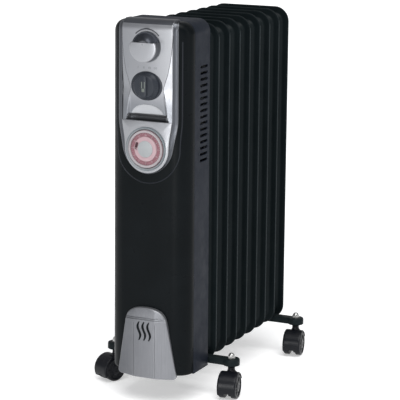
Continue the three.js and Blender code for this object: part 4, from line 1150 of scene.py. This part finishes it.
def cover_side(inset):
    """Right-hand outline of the cover from its bottom to its top, as (x, z)."""
    top = COVER_HIGH.z - inset
    knee = top - KNEE_DROP
    foot = COVER_LOW.z + inset + COVER_CORNER
    low_half = COVER_HALF - inset
    high_half = COVER_TOP_HALF - inset
    side = [Vector((low_half - COVER_CORNER + COVER_CORNER * sin(a), foot - COVER_CORNER * cos(a)))
            for a in (radians(15 * i) for i in range(6))]
    side += [Vector((blend(low_half, high_half, i / 24), blend(foot + 1, knee, i / 24))) for i in range(24)]
    return side + bezier(((high_half, knee), (high_half - 2, top - 6), (high_half - 14, top), (1.5, top)), 18)


def cover_y(x, z):
    """Depth of the cover's face: a flat middle, side facets, seams, and a grooved cap that leans back."""
    beyond = abs(x) - CREASE_X
    facet = FACET_SLOPE * (sqrt(beyond * beyond + 0.8) + beyond) / 2
    lean = 0.05 * max(z - CAP_Z, 0) + 0.008 * max(z - CAP_Z - 6, 0) ** 2
    cap_line = CAP_Z + 1.4 * (1 - (x / 36) ** 2)
    groove = sum(0.9 * exp(-((z - cap_line - rise) / 0.6) ** 2) for rise in (0, 2.6))
    seam = 0.9 * exp(-(beyond / 0.45) ** 2) * ease(CAP_Z - 2, CAP_Z - 6, z)
    return COVER_FACE_Y + facet + lean + groove + seam


def cover_face():
    """Rows of points over the cover's face, close together at the seams and the cap's groove."""
    shares = {i / 30 for i in range(31)}
    shares |= {1 / 3 + side * step for side in SIDES for step in (0.004, 0.008, 0.013, 0.02)}
    shares = [-share for share in sorted(shares)[:0:-1]] + sorted(shares)
    rows = []
    for half, z in cover_side(COVER_EDGE[-1][0]):
        crease = min(CREASE_X, half * 0.8)
        row = []
        for share in shares:
            reach = abs(share)
            x = reach * 3 * crease if reach < 1 / 3 else blend(crease, half, (reach - 1 / 3) * 1.5)
            row.append((copysign(x, share), z))
        rows.append(row)
    fine = []
    for a, b in zip(rows, rows[1:]):
        parts = 12 if CAP_Z - 8 < a[0][1] < CAP_Z + 7 else 1
        fine += [[(blend(p[0], q[0], k / parts), blend(p[1], q[1], k / parts)) for p, q in zip(a, b)]
                 for k in range(parts)]
    return [[(x, cover_y(x, z), z) for x, z in row] for row in fine + [rows[-1]]]


def make_lower_cover():
    form = Form()
    grid = form.loft(cover_face(), closed=False)
    edge = grid[0] + [row[-1] for row in grid[1:]] + grid[-1][-2:0:-1] + [row[0] for row in grid[:0:-1]]
    border = [form.points[i].copy() for i in edge]
    outward = []
    for before, after in zip(border[-1:] + border[:-1], border[1:] + border[:1]):
        run = after - before
        outward.append(Vector((run.z, 0, -run.x)).normalized())
    last = edge
    for reach, back in COVER_EDGE:
        ring = form.ring(p + n * reach + Vector((0, back, 0)) for p, n in zip(border, outward))
        form.bridge(last, ring)
        last = ring
    rim = [form.points[i] for i in last]
    form.bridge(last, form.ring([(p.x, max(crown_y(p.x) + 0.6, p.y), p.z) for p in rim]))
    make("cover_shell", form, [COVER], ["lower_cover"], crease=26)

    waves = Form()
    for middle in WAVE_X:
        loops = []
        for off, proud in WAVE_SECTION:
            line = []
            for i in range(33):
                share = i / 32
                thin = sin(pi * min(max(share, 0.04), 0.96)) ** 0.35
                x = middle + off * thin + WAVE_SWAY * sin(FULL_TURN * share)
                line.append((x, COVER_FACE_Y - proud, WAVE_FOOT_Z + WAVE_HEIGHT * share))
            loops.append(line)
        waves.loft(loops, closed=False)
    make("heat_sign", waves, [GLOSS], crease=40)


# ---------------------------------------------------------------- legs and castors

PAD_RADIUS = 13.5
ARM_HALF = 8.2
ROD = 3.0


def leg_loop(inset, castor_x, middle, z):
    """The leg's outline, a bar with a round pad at each end."""
    half = ARM_HALF - inset
    radius = PAD_RADIUS - inset
    turn = asin(half / radius)
    found = []
    for side in (1, -1):
        for i in range(29):
            angle = pi + turn + (FULL_TURN - 2 * turn) * i / 28
            x = castor_x + radius * cos(angle)
            found.append((side * x, middle + side * radius * sin(angle), z))
    return found


def make_leg(name, clamp):
    low, high = span(name)
    foot, top = low.z, high.z
    middle = (low.y + high.y) / 2
    castor_x = high.x - PAD_RADIUS
    form = Form()
    outside = (
        (2.0, foot + 0.1), (1.6, foot), (0.4, foot), (0, foot + 0.5), (0, top - 2.6), (0.3, top - 1.3),
        (1.2, top - 0.3), (2.5, top),
    )
    for section in (outside, ((2.0, foot + 0.1), (2.0, top - 3), (3.0, top - 2.0))):
        form.loft([leg_loop(inset, castor_x, middle, z) for inset, z in section], last_cap=True)
    for side in SIDES:
        form.turn([(11, top - 0.4), (11, top + 0.2), (10.2, top + 0.3), (4.6, top + 0.3)],
                  moved(side * castor_x, middle, 0), 40)
    make(name + "_channel", form, [ENAMEL], [name], crease=32)

    bolt = Form()
    low, high = span(clamp)
    half = high.x - 5 + 0.6
    levels = (low.z, top + 4, HUBS[0] - 8)
    path = [(-half, middle, z) for z in levels]
    path += [(-half * cos(a), middle, HUBS[0] + half * sin(a)) for a in
             (pi * i / 24 for i in range(25))]
    bolt.tube(path + [(half, middle, z) for z in levels[::-1]], ROD)
    for side in SIDES:
        place = moved(side * half, middle, top - 7.4)
        bolt.turn([(ROD, 0), (4.4, 0), (5, 0.6), (5, 4.4), (4.4, 5), (ROD, 5)], place, 6)
    make(clamp + "_bolt", bolt, [STEEL], [clamp], crease=30)
    return castor_x, middle


CASTOR_YAW = {"fl": -24, "fr": 9, "rl": 32, "rr": 9}
TRAIL = 11
WHEEL_RADIUS = 20
WEB_HALF = 4.4
ACROSS = 15.4
FENDER_IN = 20.9
FENDER_OUT = 23.35
ROUNDING = 2.2
HOOD_FRONT_Z = 9
HOOD_REAR_Z = 29
NOTCH = 4.4
ARCH_FOOT = -8.4
ARCH_RISE = 3.2
RIBS = 6


def fender(form, place):
    """The hood's curved plate: over the wheels and down ahead of them to a notched foot."""
    inside = [NOTCH * sin(radians(15 * i)) for i in range(-6, 7)]
    rim = [ACROSS - ROUNDING + ROUNDING * sin(radians(18 * i)) for i in range(6)]
    outside = [blend(NOTCH, ACROSS - ROUNDING, i / 5) for i in range(1, 5)] + rim
    columns = [-x for x in outside[::-1]] + inside + outside
    first = asin((HOOD_REAR_Z - WHEEL_RADIUS) / FENDER_OUT)
    steps = 44
    edges = []
    for outer in (True, False):
        lines = []
        for i in range(steps + 1):
            line = []
            for x in columns:
                over = max(abs(x) - ACROSS + ROUNDING, 0)
                crown = FENDER_OUT - ROUNDING + sqrt(max(ROUNDING ** 2 - over ** 2, 0))
                radius = crown if outer else FENDER_IN
                drop = WHEEL_RADIUS - HOOD_FRONT_Z - sqrt(max(NOTCH ** 2 - x * x, 0))
                angle = blend(first, pi + asin(drop / FENDER_OUT), i / steps)
                line.append(place @ Vector((x, radius * cos(angle), radius * sin(angle))))
            lines.append(line)
        grid = form.loft(lines, closed=False)
        edges.append(
            grid[0] + [row[-1] for row in grid[1:]] + grid[-1][-2::-1] + [row[0] for row in grid[-2:0:-1]])
    form.bridge(*edges)


def web(form, place):
    """The hood's middle web, a disc whose foot is arched out between the wheels."""
    radius = FENDER_IN + 0.8
    start = asin(ARCH_FOOT / radius)
    angles = [blend(start, pi - start, i / 40) for i in range(41)]
    outline = [(radius * cos(a), radius * sin(a)) for a in angles]
    half = 0.96 * radius * cos(start)
    angles = [pi * (1 - i / 12) for i in range(1, 12)]
    outline += [(half * cos(a), ARCH_FOOT + ARCH_RISE * sin(a)) for a in angles]
    form.loft([
        [place @ Vector((x, a * scale, b * scale)) for a, b in outline]
        for x, scale in ((-WEB_HALF, 0.975), (-WEB_HALF + 0.5, 1), (WEB_HALF - 0.5, 1), (WEB_HALF, 0.975))
    ], first_cap=True, last_cap=True)


def wheel(form, place):
    """One wheel on the +X side of the axle's middle."""
    form.turn([
        (2.6, 5.0), (16.5, 5.0), (18.9, 5.3), (19.8, 5.9), (WHEEL_RADIUS, 6.8), (WHEEL_RADIUS, 12.9),
        (19.75, 13.9), (19.0, 14.8), (17.9, 15.25), (16.6, 15.35), (16.0, 15.0), (15.4, 14.0), (14.6, 13.6),
        (9.6, 13.4), (8.8, 13.8), (8.2, 14.9), (7.4, 15.3), (4.0, 15.35), (3.6, 15.0), (0, 14.9),
    ], place @ spun(90, "Y"), 72)
    for i in range(RIBS):
        rib = place @ spun(360 * (i + 0.5) / RIBS, "X")
        form.block((13.2, -1.0, 8.4), (14.6, 1.0, 15.8), 0.3, rib)


def make_castor(corner, castor_x, middle):
    side = 1 if corner.endswith("r") else -1
    name = f"castor_{corner}"
    pivot = moved(side * castor_x, middle, 0)
    low, high = span(name + "_nut")
    nut = Form()
    base = pivot @ moved(0, 0, low.z)
    tall = high.z - low.z
    nut.turn([(3.5, 0), (5.7, 0), (6.2, 0.4), (6.2, 3.5), (5.7, 4), (4.2, 4)], base, 6)
    nut.turn([
        (5.1, 3.9), (4.9, 4.4), (4.8, 5.2), (4.4, 6.3), (3.6, 7.3), (2.5, 8.0), (1.2, tall - 0.1), (0, tall),
    ], base, 40)
    nut.turn([(3.6, -0.25), (6.4, -0.25), (6.4, 0.25), (5.7, 0.4)], base, 40)
    make(name + "_acorn", nut, [CHROME], [name + "_nut"], crease=28)

    low, high = span(name + "_stem")
    boss = span(name + "_hood")[1].z
    stem = Form()
    stem.turn([
        (0, low.z), (2.5, low.z), (2.5, boss + 0.4), (5, boss + 0.4), (5, boss + 1.8), (3.2, boss + 2.6),
        (3.2, 56.0), (7.2, 56.6), (8, 57.2), (8, 60.2), (7.6, 60.6), (3.2, 60.6), (3.2, high.z), (0, high.z),
    ], pivot, 40)
    make(name + "_pin", stem, [GLOSS], [name + "_stem"], crease=30)

    turned = pivot @ spun(CASTOR_YAW[corner])
    axle = turned @ moved(0, -TRAIL, WHEEL_RADIUS)
    hood = Form()
    fender(hood, axle)
    web(hood, axle)
    hood.turn([
        (9.6, 39.6), (7.8, 41.2), (6.6, 42.8), (6.0, 44.4), (5.8, 46.0), (5.8, 48.3), (5.2, 48.9), (2.9, 49),
    ], turned, 48)
    hood.turn([(5.8, 30), (5.8, 46)], turned, 48)
    make(name + "_cowl", hood, [CASTOR_BLACK], [name + "_hood"], name, crease=34)
    for letter, mirror in (("right", 1), ("left", -1)):
        form = Form()
        wheel(form, axle @ Matrix.Scale(mirror, 4, (1, 0, 0)))
        make(f"{name}_{letter}_tyre", form, [CASTOR_BLACK], [f"{name}_wheel_{letter}"],
             f"{name}_{letter}", crease=30)


def make_running_gear():
    for row in ("front", "rear"):
        castor_x, middle = make_leg(f"{row}_leg", f"{row}_leg_clamp")
        for hand in "lr":
            make_castor(row[0] + hand, castor_x, middle)


# ---------------------------------------------------------------- studio

FLOOR_HALF = 14
FLOOR_DROP = 0.0004


def look(location, target):
    return (Vector(target) - Vector(location)).to_track_quat("-Z", "Y")


def heading(azimuth, elevation, distance):
    """A place at a distance from the heater, round from its control side and up."""
    a, e = radians(azimuth), radians(elevation)
    return distance * Vector((sin(a) * cos(e), -cos(a) * cos(e), sin(e)))


def area_light(name, location, target, size, power):
    data = bpy.data.lights.new(name, "AREA")
    data.shape = "RECTANGLE"
    data.size, data.size_y = size
    data.energy = power
    light = add(name, data)
    light.location = location
    light.rotation_mode = "QUATERNION"
    light.rotation_quaternion = look(location, target)
    light.visible_camera = False


def make_studio():
    floor = bpy.data.meshes.new("floor")
    corners = ((-1, -1), (1, -1), (1, 1), (-1, 1))
    floor.from_pydata([(x * FLOOR_HALF, y * FLOOR_HALF, 0) for x, y in corners], [], [(0, 1, 2, 3)])
    paint = Paint("floor_paper", (0.86, 0.86, 0.86), 0.75, Emission_Color=(1, 1, 1, 1), Emission_Strength=0.4)
    paint.tint(paint.grade(paint.noise(180, 2), 0.3, 0.7), (0.88, 0.88, 0.885))
    floor.materials.append(paint.material)
    ground = add("floor", floor)
    ground.location = (0, 0, -FLOOR_DROP)

    world = bpy.data.worlds.new("studio")
    world.use_nodes = True
    sky = world.node_tree.nodes["Background"]
    sky.inputs[0].default_value = (0.97, 0.98, 1.0, 1)
    sky.inputs[1].default_value = 0.36
    bpy.context.scene.world = world
    bpy.context.scene.view_settings.view_transform = "Standard"

    sun = bpy.data.lights.new("overhead", "SUN")
    sun.energy = 2.5
    sun.angle = radians(50)
    lamp = add("overhead", sun)
    lamp.rotation_mode = "QUATERNION"
    lamp.rotation_quaternion = look(heading(35, 62, 4), (0, 0, 0))

    area_light("front_box", heading(2, 0, 2.6) + Vector((0, 0, 0.6)), (0, 0, 0.4), (0.8, 1.1), 20)
    area_light("right_box", heading(78, 25, 2.6), (0, 0, 0.4), (0.5, 1.4), 5)


CAMERA_LENS = 164.86
CAMERA_AZIMUTH, CAMERA_ELEVATION, CAMERA_ROLL = 25.197, 12.05, 0.514
CAMERA_TARGET = (19.6, -37, 303.76)
CAMERA_DISTANCE = 2981.9


def make_camera():
    data = bpy.data.cameras.new("camera")
    data.sensor_width = 36
    data.lens = CAMERA_LENS
    data.clip_end = 60
    camera = add("camera", data)
    back = heading(CAMERA_AZIMUTH, CAMERA_ELEVATION, 1)
    camera.location = Vector(CAMERA_TARGET) * MM + MIDDLE + back * CAMERA_DISTANCE * MM
    camera.rotation_mode = "QUATERNION"
    camera.rotation_quaternion = back.to_track_quat("Z", "Y") @ spun(CAMERA_ROLL).to_quaternion()
    bpy.context.scene.camera = camera


make_fins()
make_front_panel()
make_side_frame()
make_plate()
make_border()
make_timer_plate()
make_lines()
make_thermostat_knob()
make_selector_knob()
make_timer()
make_lower_cover()
make_running_gear()
make_studio()
make_camera()
